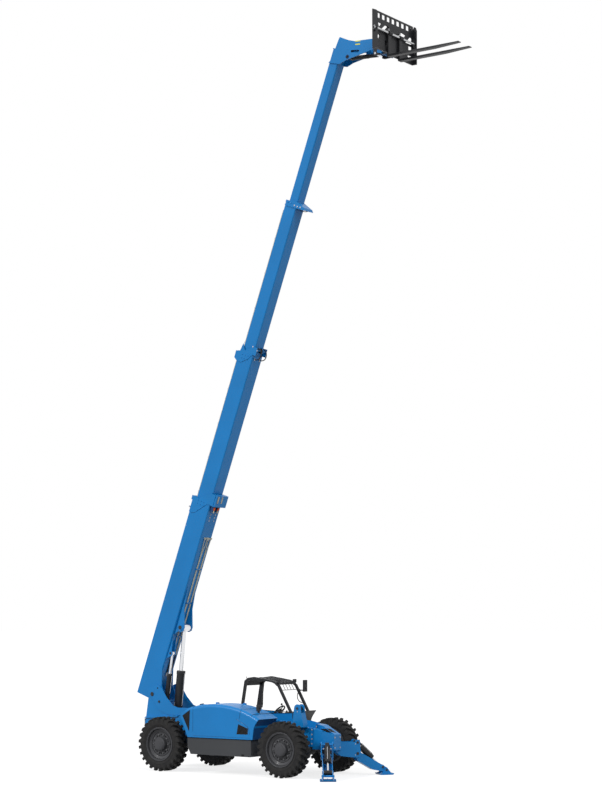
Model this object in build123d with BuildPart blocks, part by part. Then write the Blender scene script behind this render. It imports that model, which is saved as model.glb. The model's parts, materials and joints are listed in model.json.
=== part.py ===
"""Telehandler with a four-section telescopic boom and two front outriggers.

Frame: millimetres, +X forward, +Y to the machine's left, +Z up.  The origin is on
the ground under the middle of the machine's length.  The machine stands as it
lifts: boom up and run out, outriggers down.
"""
from build123d import *
from math import atan2, cos, degrees, hypot, pi, radians, sin
import os

os.makedirs("parts", exist_ok=True)

# ---------------------------------------------------------------- driving sizes
front_axle_x = 360.0          # front axle, ahead of the origin
wheel_base = 3650.0
axle_z = 660.0                # wheel centre height
track = 2110.0                # between the tyres' middle planes
tyre_r = 660.0
tyre_width = 370.0
tyre_bead_r = 393.0
shoulder_r = 606.0            # where the sidewall meets the tread
lug_root_r = 612.0
lug_count = 26                # on each half of the tread
lug_tip_half = 31.0
lug_root_half = 40.0
rim_wall = 18.0
rim_lip = 18.0
rim_lip_r = 413.0
seat_gap = 0.3                # between a soft or turned piece and its seat
run_gap = 0.05                # radial clearance of a shaft in its bore
side_gap = 5.0                # beside moving plates

plate = 25.0                  # frame plate thickness
frame_half = 400.0            # outer face of the frame plates
frame_bottom = 600.0

boom_angle = 70.0             # as it stands
boom_drop = 72.0              # from there down to its lowest
pivot_x = front_axle_x - 4550.0
pivot_z = 1830.0
pivot_pin_r = 45.0

# ------------------------------------------------------------------ small tools


def save(part, name):
    """Label a finished piece and write it."""
    part.label = name
    export_step(part, f"parts/{name}.step")


def fx(back):
    """A place given as a distance ahead of the front axle."""
    return front_axle_x + back


def side_plane(y, x=0.0, z=0.0):
    """Plane seen from the right side: its X is forward, its Y is up, at this y."""
    return Plane(origin=(x, y, z), x_dir=(1, 0, 0), z_dir=(0, -1, 0))


boom_dir = Vector(cos(radians(boom_angle)), 0, sin(radians(boom_angle)))
boom_down = Vector(sin(radians(boom_angle)), 0, -cos(radians(boom_angle)))


def boom_point(s, n, y=0.0):
    """Place on the boom: s along it from the pivot, n towards its underside."""
    at = Vector(pivot_x, y, pivot_z) + boom_dir * s + boom_down * n
    return (at.X, at.Y, at.Z)


def boom_side(y):
    """Plane on the boom's side: its X is s, its Y is minus n."""
    return Plane(origin=(pivot_x, y, pivot_z), x_dir=boom_dir, z_dir=(0, -1, 0))


def boom_cut(s, n=0.0):
    """Plane across the boom at s: its X is the machine's left, its Y is minus n."""
    return Plane(origin=boom_point(s, n), x_dir=(0, 1, 0), z_dir=boom_dir)


def outline(points):
    """Closed face from corner points, inside a sketch."""
    return Polygon(*points, align=None)


# ------------------------------------------------------------------------ wheels
rear_axle_x = front_axle_x - wheel_base
kingpin_y = 780.0
disc_inset = 105.0            # the rim's disc behind the tyre's outer face
hub_r = 165.0
hub_face = 190.0              # the hub's outer face beyond the tyre's middle plane
hub_back = 90.0               # the hub's inner face, inside that plane
spindle_r = 50.0
spindle_deep = 140.0          # how far the spindle goes into the hub
rim_half = 165.0
disc_thick = 20.0
tyre_half = tyre_width / 2
bead_half = rim_half - rim_lip
wheel_places = [              # name, axle x, side (-1 is the machine's right)
    ("front_right", front_axle_x, -1),
    ("front_left", front_axle_x, 1),
    ("rear_right", rear_axle_x, -1),
    ("rear_left", rear_axle_x, 1),
]


def wheel_plane(x, side):
    """Profile plane of a wheel: its X is up, its Y is outward along the axle."""
    return Plane(origin=(x, side * track / 2, axle_z), x_dir=(0, 0, 1), z_dir=(-side, 0, 0))


def tread_plane(x, side):
    """Tyre's middle plane: its X is down, its normal is outward."""
    return Plane(origin=(x, side * track / 2, axle_z), x_dir=(0, 0, -1), z_dir=(0, side, 0))


def tread_outline(shift):
    """Toothed outline of one half of the tread, its lugs turned by a share of their pitch."""
    corners = []
    for count in range(lug_count):
        turn = 2 * pi * (count + shift) / lug_count
        for along, half in ((lug_root_r, -lug_root_half), (tyre_r, -lug_tip_half),
                            (tyre_r, lug_tip_half), (lug_root_r, lug_root_half)):
            corners.append((along * cos(turn) - half * sin(turn),
                            along * sin(turn) + half * cos(turn)))
    return corners


def tyre_solid(x, side):
    """Ring turned about the axle, with two rows of staggered lugs round it."""
    axle = Axis((x, 0, axle_z), (0, side, 0))
    inner = tyre_bead_r + seat_gap
    bead = bead_half - seat_gap
    with BuildPart() as tyre:
        with BuildSketch(wheel_plane(x, side)):
            outline([(inner, -bead), (inner, bead), (shoulder_r, tyre_half),
                     (shoulder_r, -tyre_half)])
        revolve(axis=axle)
        for shift, depth in ((0, tyre_half), (0.5, -tyre_half)):
            with BuildSketch(tread_plane(x, side)):
                outline(tread_outline(shift))
                Circle(shoulder_r - 20, mode=Mode.SUBTRACT)
            extrude(amount=depth)
    return tyre.part


def rim_solid(x, side):
    """Rim barrel with lips, its disc and the planetary hub, in one turned profile."""
    axle = Axis((x, 0, axle_z), (0, side, 0))
    disc_face = tyre_half - disc_inset
    disc_back = disc_face - disc_thick
    barrel_in = tyre_bead_r - rim_wall
    bore_end = spindle_deep - hub_back
    with BuildPart() as rim:
        with BuildSketch(wheel_plane(x, side)):
            outline([
                (0, bore_end), (0, hub_face), (hub_r - 30, hub_face), (hub_r, hub_face - 30),
                (hub_r, disc_face), (290, disc_face), (barrel_in - 25, disc_face + 25),
                (barrel_in, disc_face + 40), (barrel_in + 4, rim_half), (rim_lip_r, rim_half),
                (tyre_bead_r, rim_half - rim_lip), (tyre_bead_r, -rim_half + rim_lip),
                (rim_lip_r, -rim_half), (barrel_in, -rim_half), (barrel_in, disc_back),
                (hub_r - 15, disc_back), (hub_r - 15, -hub_back),
                (spindle_r + run_gap, -hub_back), (spindle_r + run_gap, bore_end),
            ])
        revolve(axis=axle)
    return rim.part


arm_z = 150.0                 # underside of the axle's upper arm above the axle
arm_thick = 40.0
arm_gap = 2.0
kingpin_r = 35.0
knuckle_r = 135.0
yoke_in = 640.0
yoke_out = 700.0
arm_end = 850.0


def knuckle_solid(x, side):
    """Steering knuckle: kingpin block, spindle housing and spindle."""
    house_start = kingpin_y + 20
    house_end = track / 2 - hub_back - side_gap
    with BuildPart() as knuckle:
        with Locations((x, side * kingpin_y, axle_z)):
            Cylinder(60, 2 * (arm_z - arm_gap))
            Cylinder(kingpin_r, 2 * (arm_z + arm_thick + 6))
        with BuildSketch(side_plane(side * house_end)):
            with Locations((x, axle_z)):
                Circle(knuckle_r)
        extrude(amount=side * (house_end - house_start))
        with BuildSketch(side_plane(side * (house_end + spindle_deep))):
            with Locations((x, axle_z)):
                Circle(spindle_r)
        extrude(amount=side * (spindle_deep + 10))
        with BuildSketch(side_plane(side * (house_start + 20))):
            with Locations((x - 100, axle_z)):
                Rectangle(200, 90)
        extrude(amount=side * 40)
    return knuckle.part


for name, x, side in wheel_places:
    save(tyre_solid(x, side), f"tyre_{name}")
    save(rim_solid(x, side), f"rim_{name}")
    save(knuckle_solid(x, side), f"knuckle_{name}")

# ------------------------------------------------------------------------- axles
axle_arch_z = 880.0           # top of the frame's cut-outs over the axles
axle_tube_r = 95.0
axle_bowl_r = 185.0
sway_foot = (fx(0), -530.0, axle_z + 170)
sway_eye_half = 38.0
sway_foot_pin_r = 22.0


def axle_solid(x, steer_side):
    """Axle beam with its bowl, its yokes and the steering ram on one side."""
    with BuildPart() as axle:
        with Locations(Location((x, 0, axle_z), (90, 0, 0))):
            Cylinder(axle_tube_r, 2 * yoke_in)
        with Locations((x, 0, axle_z)):
            Sphere(axle_bowl_r)
        for side in (-1, 1):
            with Locations((x, side * (yoke_in + yoke_out) / 2, axle_z)):
                Box(150, yoke_out - yoke_in, 2 * (arm_z + arm_thick))
            for level in (-1, 1):
                at = (x, side * (yoke_out + arm_end) / 2, axle_z + level * (arm_z + arm_thick / 2))
                with Locations(at):
                    Box(150, arm_end - yoke_out, arm_thick)
            with Locations((x, side * kingpin_y, axle_z)):
                Cylinder(kingpin_r + run_gap, 2 * (arm_z + arm_thick) + 2, mode=Mode.SUBTRACT)
            with Locations((x, side * (frame_half - plate / 2), (axle_z + axle_arch_z) / 2)):
                Box(170, 60, axle_arch_z - axle_z)
        with Locations(Location((x + steer_side * 170, 0, axle_z), (90, 0, 0))):
            Cylinder(42, 620)
            Cylinder(24, 1180)
        for side in (-1, 1):
            with Locations((x + steer_side * 100, side * 240, axle_z)):
                Box(180, 40, 60)
    return axle.part


with BuildPart() as front_axle:
    add(axle_solid(front_axle_x, -1))
    for turn in (-1, 1):
        with Locations((sway_foot[0], sway_foot[1] + turn * (sway_eye_half + 8), sway_foot[2] - 40)):
            Box(90, 12, 180)
    with Locations(Location(sway_foot, (90, 0, 0))):
        Cylinder(sway_foot_pin_r, 2 * (sway_eye_half + 22))
save(front_axle.part, "front_axle")
save(axle_solid(rear_axle_x, 1), "rear_axle")

# -------------------------------------------------------------------- main frame
lift_base = (front_axle_x - 4067.0, 1200.0)
level_base = (front_axle_x - 4321.0, 1648.0)
tower_rear = front_axle_x - 4664.0
axle_arch_half = 230.0
flange_x = front_axle_x + 270.0
flange_thick = 45.0
sway_x = fx(50)
cab_in = 420.0                # the cab's inner face, left of the middle
hood_hinge_xs = (fx(-2480), fx(-1650))
hood_hinge_y = -393.0
hood_hinge_z = 1660.0
hood_hinge_r = 12.0
sway_half = 70.0              # half the room between the sway ram's two plates
lug_plate = 20.0
sway_y = -frame_half - lug_plate - sway_half
sway_pin_z = 1605.0
sway_top_r = 95.0
sway_pin_r = 28.0
doubler = 12.0

side_outline = [
    (fx(-4800), 640), (fx(-4800), 980), (fx(-4756), 1250), (tower_rear - 20, 1727),
    (fx(-4690), 1900), (fx(-4590), 2000), (fx(-4440), 2060), (fx(-4360), 2040),
    (fx(-4210), 1838), (fx(-4047), 1668), (fx(-3900), 1560), (fx(-3740), 1510),
    (fx(-2780), 1510), (fx(-2600), 1190), (fx(-1000), 1190), (fx(-850), 1290),
    (fx(-589), 1291), (fx(-200), 1265), (fx(0), 1225), (flange_x, 1140), (flange_x, 700),
    (fx(axle_arch_half), frame_bottom + 60),
    (fx(axle_arch_half), axle_arch_z), (fx(-axle_arch_half), axle_arch_z),
    (fx(-axle_arch_half - 60), frame_bottom), (rear_axle_x + axle_arch_half + 60, frame_bottom),
    (rear_axle_x + axle_arch_half, axle_arch_z), (rear_axle_x - axle_arch_half, axle_arch_z),
    (rear_axle_x - axle_arch_half - 40, 640),
]
pin_bosses = [                # x, z, pin radius
    (pivot_x, pivot_z, pivot_pin_r),
    (lift_base[0], lift_base[1], 40.0),
    (level_base[0], level_base[1], 25.0),
]
doubler_outline = [
    (fx(-4456), 1982), (fx(-4373), 2041), (fx(-4249), 1986), (fx(-4082), 1752), (fx(-3875), 1552),
    (fx(-3740), 1505), (fx(-3306), 1505), (fx(-3346), 1441), (fx(-3669), 1321), (fx(-4078), 1334),
    (fx(-4368), 1459), (fx(-4494), 1662), (fx(-4578), 1740),
]
sway_front = [                # front edge of the sway ram's plates, below their round top
    (sway_x + sway_top_r, sway_pin_z), (fx(155), 1500), (fx(220), 1260), (fx(220), 1160),
]
sway_back = [(fx(-110), 1160), (fx(-90), 1300), (sway_x - sway_top_r, sway_pin_z)]
inner_half = frame_half - plate
cross_plates = [              # x from, x to, z from, z to
    (fx(-4800), fx(-4775), 640, 1150),
    (fx(-4775), fx(-4300), 900, 925),
    (fx(-3300), fx(-2900), 980, 1005),
    (fx(-2880), fx(-420), frame_bottom, frame_bottom + 20),
    (fx(-420), fx(-395), frame_bottom, 1150),
    (fx(-395), flange_x, 930, 955),
    (fx(-2600), fx(-2575), frame_bottom + 20, 1180),
]

with BuildPart() as main_frame:
    for side in (-1, 1):
        with BuildSketch(side_plane(side * frame_half)):
            outline(side_outline)
        extrude(amount=side * plate)
        with BuildSketch(side_plane(side * (frame_half + doubler))):
            outline(doubler_outline)
        extrude(amount=side * doubler)
    for x_from, x_to, z_from, z_to in cross_plates:
        with Locations(((x_from + x_to) / 2, 0, (z_from + z_to) / 2)):
            Box(x_to - x_from, 2 * inner_half, z_to - z_from)
    with BuildSketch(side_plane(frame_half + doubler + 6)):
        for x, z, radius in pin_bosses:
            with Locations((x, z)):
                Circle(radius)
    extrude(amount=2 * (frame_half + doubler + 6))
    for x in hood_hinge_xs:
        with Locations((x, -inner_half - plate / 2, 1380)):
            Box(90, plate, 440)
        for turn in (-1, 1):
            with Locations((x + turn * 40, -390, 1617)):
                Box(10, 30, 110)
        with Locations(Location((x, hood_hinge_y, hood_hinge_z), (0, 90, 0))):
            Cylinder(hood_hinge_r, 90)
    for x in (fx(-2150), fx(-1000)):
        with Locations((x, (frame_half + cab_in) / 2, 980)):
            Box(160, cab_in - frame_half, 260)
    for y in (-frame_half, -frame_half - 2 * sway_half - lug_plate):
        with BuildSketch(side_plane(y)):
            outline(sway_back + sway_front)
            with Locations((sway_x, sway_pin_z)):
                Circle(sway_top_r)
        extrude(amount=lug_plate)
    with BuildSketch(side_plane(-frame_half)):
        outline([(fx(135), 1500), (fx(155), 1500), (fx(220), 1260), (fx(220), 1160),
                 (fx(200), 1160), (fx(200), 1255)])
    extrude(amount=2 * sway_half + lug_plate)
    with BuildSketch(side_plane(-frame_half)):
        with Locations((sway_x, sway_pin_z)):
            Circle(sway_pin_r)
    extrude(amount=2 * sway_half + 2 * lug_plate + 12)
save(main_frame.part, "main_frame")
print("main frame", main_frame.part.volume, len(main_frame.part.solids()))

# ---------------------------------------------------------------- outrigger sizes
leg_yaw = 36.0                # the legs splay this far forward of straight out
leg_pivot_x = fx(925)
leg_pivot_y = 606.0
leg_pivot_z = 524.0
leg_pin_r = 28.0
ear_pin_up = 260.0            # the ram's pin above the leg's pivot
ear_pin_r = 24.0
foot_out = 742.0              # foot pin, outward of the pivot and up from the ground
foot_z = 115.0
leg_half = 118.0
leg_wall = 14.0
bracket_gap = 5.0
leg_above = 60.0              # leg's side plates above and below the pin line
leg_below = 150.0
ram_eye_out = 650.0
ram_eye_z = 190.0


def leg_plane(side):
    """Plane of one leg: its X is outward along the leg, its Y is up."""
    out = Vector(sin(radians(leg_yaw)), side * cos(radians(leg_yaw)), 0)
    across = Vector(out.Y, -out.X, 0) * -side
    at = Vector(leg_pivot_x, side * leg_pivot_y, 0)
    return Plane(origin=at, x_dir=out, z_dir=across if side < 0 else across * -1)


# -------------------------------------------------------------------- front frame
nose_back = flange_x + flange_thick
nose_front = fx(810)
nose_back_half = 330.0        # the wedge's half width where it starts
nose_front_half = 150.0
nose_wall = 25.0
nose_skin = 12.0
ridge_half = 120.0
flange_half = 385.0
bracket_outline = [           # out, up
    (-540, 560), (-540, 800), (-60, 800), (-50, 835), (0, 850), (52, 832), (66, 784), (60, 700),
    (82, 560), (84, 505), (50, 440), (0, 425), (-180, 440), (-420, 470),
]
bracket_in = leg_half + bracket_gap
bracket_thick = 22.0
nose_plan = [(nose_back, -nose_back_half), (nose_front, -nose_front_half),
             (nose_front, nose_front_half), (nose_back, nose_back_half)]
nose_slope = (nose_back_half - nose_front_half) / (nose_front - nose_back)
nose_side = [(nose_back, 640), (nose_front, 620), (nose_front, 990), (nose_back, 1130)]
cover_end = fx(500)
with BuildPart() as nose_room:
    with BuildSketch(Plane.XY.offset(500)):
        outline([
            (nose_back - 1, -nose_back_half + nose_wall), (nose_front - nose_wall,
             -nose_front_half + nose_wall - nose_slope * nose_wall),
            (nose_front - nose_wall, nose_front_half - nose_wall + nose_slope * nose_wall),
            (nose_back - 1, nose_back_half - nose_wall),
        ])
    extrude(amount=800)
with BuildPart() as nose_top:
    with BuildSketch(Plane.XY.offset(900)):
        outline([(nose_back, -nose_back_half + 5), (cover_end, -nose_back_half + 80),
                 (cover_end, nose_back_half - 80), (nose_back, nose_back_half - 5)])
    extrude(amount=300)
    with BuildSketch(side_plane(nose_back_half)):
        outline([(nose_back, 1130 - nose_skin), (nose_back, 1130), (cover_end, 1077),
                 (cover_end, 1077 - nose_skin)])
    extrude(amount=2 * nose_back_half, mode=Mode.INTERSECT)

with BuildPart() as nose:
    with BuildSketch(side_plane(nose_back_half)):
        outline(nose_side)
    extrude(amount=2 * nose_back_half)
    with BuildSketch(Plane.XY.offset(500)):
        outline(nose_plan)
    extrude(amount=800, mode=Mode.INTERSECT)
    add(nose_room.part, mode=Mode.SUBTRACT)
    add(nose_top.part)
    with BuildSketch(side_plane(ridge_half)):
        outline([(nose_back, 1050), (nose_back, 1220), (fx(450), 1200), (nose_front, 992),
                 (nose_front, 930), (cover_end, 1050)])
    extrude(amount=2 * ridge_half)
    with BuildSketch(side_plane(ridge_half - nose_skin)):
        outline([(nose_back + 20, 1040), (nose_back + 20, 1205), (fx(445), 1187),
                 (nose_front - nose_wall, 990), (nose_front - nose_wall, 920), (cover_end, 1040)])
    extrude(amount=2 * (ridge_half - nose_skin), mode=Mode.SUBTRACT)
    with Locations((flange_x + flange_thick / 2, 0, 920)):
        Box(flange_thick, 2 * flange_half, 440)
    with Locations((flange_x + flange_thick / 2, 0, 1160)):
        Box(flange_thick, 2 * ridge_half, 120)
    for side in (-1, 1):
        for across in (bracket_in, -bracket_in - bracket_thick):
            with BuildSketch(leg_plane(side).offset(across)):
                outline(bracket_outline)
            extrude(amount=bracket_thick)
        with BuildSketch(leg_plane(side).offset(-bracket_in - bracket_thick - 8)):
            with Locations((0, leg_pivot_z)):
                Circle(leg_pin_r)
            with Locations((0, leg_pivot_z + ear_pin_up)):
                Circle(ear_pin_r)
        extrude(amount=2 * (bracket_in + bracket_thick + 8))
save(nose.part, "front_frame")
print("nose", len(nose.part.solids()))


# --------------------------------------------------------------------- outriggers
leg_len = hypot(foot_out, foot_z - leg_pivot_z)
leg_tilt = degrees(atan2(foot_z - leg_pivot_z, foot_out))
foot_pin_r = 22.0
pad_long = 360.0
pad_wide = 370.0
pad_thick = 40.0
pad_ear = 20.0
out_barrel_r = 72.0
out_rod_r = 26.0
out_eye_r = 52.0
eye_gap = 4.0
out_barrel_len = 560.0
ram_wall = 14.0


def leg_along(side, across):
    """Plane whose X runs from the leg's pivot to its foot pin."""
    plane = leg_plane(side)
    slope = plane.x_dir * cos(radians(leg_tilt)) + Vector(0, 0, 1) * sin(radians(leg_tilt))
    at = plane.offset(across).from_local_coords((0, leg_pivot_z, 0))
    return Plane(origin=at, x_dir=slope, z_dir=plane.z_dir)


leg_outline = [
    (-40, -70), (-70, -20), (-70, 20), (-30, 62), (80, 62), (leg_len, leg_above),
    (leg_len + 45, 40), (leg_len + 58, -5), (leg_len + 40, -42), (leg_len - 20, -58),
    (leg_len - 300, -leg_below), (120, -leg_below),
]
trough_floor = [
    (120, -leg_below), (leg_len - 300, -leg_below), (leg_len - 90, -75), (leg_len - 90, -55),
    (leg_len - 300, -leg_below + leg_wall), (120, -leg_below + leg_wall),
]
for name, side in (("right", -1), ("left", 1)):
    with BuildPart() as leg:
        for across in (-leg_half, leg_half - leg_wall):
            with BuildSketch(leg_along(side, across)):
                outline(leg_outline)
                Circle(leg_pin_r + run_gap, mode=Mode.SUBTRACT)
            extrude(amount=leg_wall)
        with BuildSketch(leg_along(side, -leg_half + leg_wall)):
            outline(trough_floor)
        extrude(amount=2 * (leg_half - leg_wall))
        with BuildSketch(leg_along(side, -leg_half - bracket_gap - pad_ear)):
            with Locations((leg_len, 0)):
                Circle(foot_pin_r)
        extrude(amount=2 * (leg_half + bracket_gap + pad_ear))
        with BuildSketch(leg_along(side, -leg_half + leg_wall)):
            Circle(leg_pin_r + 22)
            Circle(leg_pin_r + run_gap, mode=Mode.SUBTRACT)
        extrude(amount=2 * (leg_half - leg_wall))
    save(leg.part, f"outrigger_leg_{name}")
    print("leg", len(leg.part.solids()))

    plane = leg_plane(side)
    with BuildPart() as pad:
        with BuildSketch(plane.offset(-pad_wide / 2)):
            outline([(foot_out - pad_long / 2, pad_thick), (foot_out - pad_long / 2 + 25, 0),
                     (foot_out + pad_long / 2 - 25, 0), (foot_out + pad_long / 2, pad_thick)])
        extrude(amount=pad_wide)
        for across in (-leg_half - bracket_gap - pad_ear, leg_half + bracket_gap):
            with BuildSketch(plane.offset(across)):
                outline([(foot_out - 120, pad_thick - 10), (foot_out + 130, pad_thick - 10),
                         (foot_out + 34, foot_z + 30), (foot_out, foot_z + 40),
                         (foot_out - 34, foot_z + 30)])
                with Locations((foot_out, foot_z)):
                    Circle(foot_pin_r + run_gap, mode=Mode.SUBTRACT)
            extrude(amount=pad_ear)
    save(pad.part, f"outrigger_pad_{name}")

    ear = plane.from_local_coords((0, leg_pivot_z + ear_pin_up, 0))
    eye = plane.from_local_coords((ram_eye_out, ram_eye_z, 0))
    along = eye - ear
    ram = Plane(origin=ear, x_dir=plane.z_dir, z_dir=along)
    with BuildPart() as barrel:
        with BuildSketch(ram.offset(62)):
            Circle(out_barrel_r)
        extrude(amount=out_barrel_len - 62)
        with BuildSketch(plane.offset(-45)):
            with Locations((0, leg_pivot_z + ear_pin_up)):
                Circle(ear_pin_r + 28)
        extrude(amount=90)
        with BuildSketch(ram):
            Rectangle(80, 60)
        extrude(amount=70)
        with BuildSketch(ram.offset(90)):
            Circle(out_barrel_r - ram_wall)
        extrude(amount=out_barrel_len - 90 - 40, mode=Mode.SUBTRACT)
        with BuildSketch(ram.offset(out_barrel_len)):
            Circle(out_rod_r + run_gap)
        extrude(amount=-60, mode=Mode.SUBTRACT)
        with BuildSketch(plane.offset(-60)):
            with Locations((0, leg_pivot_z + ear_pin_up)):
                Circle(ear_pin_r + run_gap)
        extrude(amount=120, mode=Mode.SUBTRACT)
    save(barrel.part, f"outrigger_barrel_{name}")
    with BuildPart() as rod:
        with BuildSketch(ram.offset(out_barrel_len - 130)):
            Circle(out_rod_r)
        extrude(amount=along.length - out_barrel_len + 130)
        with BuildSketch(ram.offset(out_barrel_len - 150)):
            Circle(out_barrel_r - ram_wall - seat_gap)
        extrude(amount=25)
        with BuildSketch(plane.offset(-leg_half + leg_wall + eye_gap)):
            with Locations((ram_eye_out, ram_eye_z)):
                Circle(out_eye_r)
        extrude(amount=2 * (leg_half - leg_wall - eye_gap))
    save(rod.part, f"outrigger_rod_{name}")
    print("ram", len(barrel.part.solids()), len(rod.part.solids()), along.length)

# -------------------------------------------------------- engine side of the body
hood_out = 1200.0             # hood's outer face, right of the middle
hood_in = 420.0
hood_wall = 22.0
hood_rear = [(fx(-2785), 862), (fx(-3015), 1388), (fx(-2738), 1580)]
hood_crown = ((fx(-2738), 1580), (fx(-2009), 1672), (fx(-1280), 1592))
hood_arch = [
    (fx(-640), 1345), (fx(-700), 1287), (fx(-760), 1201), (fx(-797), 1116), (fx(-829), 862),
    (fx(-2785), 862),
]
grille_deep = 12.0
grilles = [                   # outlines on the hood's outer face
    [(fx(-2712), 1520), (fx(-2945), 1376), (fx(-2733), 990)],
    [(fx(-1240), 1220), (fx(-950), 1122), (fx(-957), 982), (fx(-1292), 978)],
]
hood_round = 85.0             # radius of its long upper edge
mirror_foot = (fx(-930), -800, 1485)


box_top = 850.0
def hood_block(y, depth, inset, radius):
    """Hood's outer shape, or the room inside it when it is inset."""
    with BuildPart() as block:
        with BuildSketch(side_plane(y)):
            with BuildLine():
                Polyline(*hood_rear)
                crown = ThreePointArc(*hood_crown)
                TangentArc(hood_crown[-1], hood_arch[0], tangent=crown % 1)
                Polyline(*hood_arch)
            make_face()
            if inset:
                offset(amount=-inset, kind=Kind.INTERSECTION)
                centre = (hood_arch[-1][0] + hood_arch[-2][0]) / 2
                with Locations((centre, hood_arch[-1][1] + inset)):
                    Rectangle(hood_arch[-2][0] - hood_arch[-1][0] - 4 * inset, 3 * inset)
        extrude(amount=depth)
        outer = block.faces().sort_by(Axis.Y)[0].edges()
        long_edge = outer.filter_by(lambda e: e.center().Z > 1400 and e.length > 500)
        fillet(long_edge, radius=radius)
    return block.part


with BuildPart() as hood:
    add(hood_block(-hood_in, hood_out - hood_in, 0, hood_round))
    inside = hood_block(-hood_in + 1, hood_out - hood_in - hood_wall, hood_wall, hood_round - hood_wall)
    add(inside, mode=Mode.SUBTRACT)
    for x in hood_hinge_xs:
        with Locations((x, -403, 1645)):
            Box(60, 54, 66)
        with Locations(Location((x, hood_hinge_y, hood_hinge_z), (0, 90, 0))):
            Cylinder(hood_hinge_r + run_gap, 90, mode=Mode.SUBTRACT)
    with Locations(mirror_foot):
        Box(40 + 2 * seat_gap, 40 + 2 * seat_gap, 110, mode=Mode.SUBTRACT)
    with BuildSketch(side_plane(-hood_out + grille_deep)):
        for corners in grilles:
            outline(corners)
    extrude(amount=grille_deep, mode=Mode.SUBTRACT)
save(hood.part, "hood")
print("hood", hood.part.volume, len(hood.part.solids()))

with BuildPart() as service_box:
    with BuildSketch(side_plane(-frame_half)):
        outline([(fx(-2800), box_top), (fx(-2800), 640), (fx(-2702), 457), (fx(-900), 450),
                 (fx(-880), 470), (fx(-880), box_top)])
    extrude(amount=hood_out - 25 - frame_half)
save(service_box.part, "service_box")

with BuildPart() as engine:
    with Locations((fx(-1800), -810, 1120)):
        Box(1000, 500, 500)
    with Locations((fx(-1800), -810, 860)):
        Box(500, 300, 20)
save(engine.part, "engine")

# --------------------------------------------------------------------------- cab
cab_out = 1215.0              # the cab's outer face
cab_floor_z = 760.0
cab_wall = 30.0
post = 62.0
near_y = cab_in + post / 2
far_y = cab_out - post / 2
post_top = 1430.0
posts = [                     # y, foot x, foot width, head x, head z, head width
    (near_y, fx(-2376), post, fx(-2240), 2190, post),
    (near_y, fx(-860), post, fx(-1250), 2100, post),
    (far_y, fx(-2385), 130, fx(-2270), 2190, 95),
    (far_y, fx(-860), post, fx(-1250), 2100, post),
]
tub_rear = fx(-2410)
tub_front = [(fx(-800), post_top), (fx(-850), cab_floor_z)]
tub_lean = (tub_front[0][0] - tub_front[1][0]) / (tub_front[0][1] - tub_front[1][1])
with BuildPart() as cab_tub:
    with BuildSketch(side_plane(cab_in)):
        outline([(tub_rear, cab_floor_z), (tub_rear, post_top), (fx(-2300), post_top),
                 (fx(-1600), 1400)] + tub_front)
    extrude(amount=-(cab_out - cab_in))
    with BuildSketch(side_plane(cab_in + cab_wall)):
        outline([(tub_rear + cab_wall, cab_floor_z + cab_wall), (tub_rear + cab_wall, 1500),
                 (fx(-840), 1500), (fx(-840), 1330), (fx(-900), cab_floor_z + cab_wall)])
    extrude(amount=-(cab_out - cab_in - 2 * cab_wall), mode=Mode.SUBTRACT)
    with BuildSketch(side_plane(cab_out - 2 * cab_wall)):
        outline([(fx(-1700), cab_floor_z + 80), (fx(-1740), 1600), (fx(-960), 1600),
                 (fx(-960), cab_floor_z + 80)])
    extrude(amount=-4 * cab_wall, mode=Mode.SUBTRACT)
save(cab_tub.part, "cab_tub")
print("tub", len(cab_tub.part.solids()))

fender_low = 850.0
with BuildPart() as fender:
    with BuildSketch(side_plane(cab_in)):
        outline([
            (tub_front[0][0] + seat_gap, post_top), (fx(-700), 1430), (fx(-380), 1512),
            (fx(-450), 1420), (fx(-520), 1300), (fx(-640), 1120), (fx(-760), 1000),
            (tub_front[0][0] + seat_gap - tub_lean * (post_top - fender_low) + 8, fender_low),
            (tub_front[0][0] + seat_gap - tub_lean * (post_top - fender_low), fender_low),
        ])
    extrude(amount=-(cab_out - cab_in))
save(fender.part, "cab_cowl")

rail_line = [
    (fx(-2271), 2120), (fx(-2258), 2190), (fx(-2230), 2219), (fx(-2151), 2261), (fx(-1990), 2283),
    (fx(-1670), 2240), (fx(-1400), 2200), (fx(-1280), 2150), (fx(-1208), 2075), (fx(-1270), 2065),
    (fx(-1345), 2125), (fx(-1428), 2158), (fx(-1600), 2182), (fx(-2100), 2212), (fx(-2180), 2185),
    (fx(-2209), 2120),
]
bar = 55.0
cross_bars = [(fx(-2255), 2160), (fx(-1262), 2130), (fx(-1780), 2200)]
with BuildPart() as cab_frame:
    for y, foot_x, foot_wide, head_x, head_z, head_wide in posts:
        with BuildSketch(side_plane(y + post / 2)):
            outline([(foot_x - foot_wide / 2, post_top), (foot_x + foot_wide / 2, post_top),
                     (head_x + head_wide / 2, head_z), (head_x - head_wide / 2, head_z)])
        extrude(amount=post)
    for y in (near_y, far_y):
        with BuildSketch(side_plane(y + post / 2)):
            outline(rail_line)
        extrude(amount=post)
    for x, z in cross_bars:
        with Locations((x, (cab_in + cab_out) / 2, z)):
            Box(bar, cab_out - cab_in - post, bar)
save(cab_frame.part, "cab_frame")
print("cab frame", len(cab_frame.part.solids()))

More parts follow.
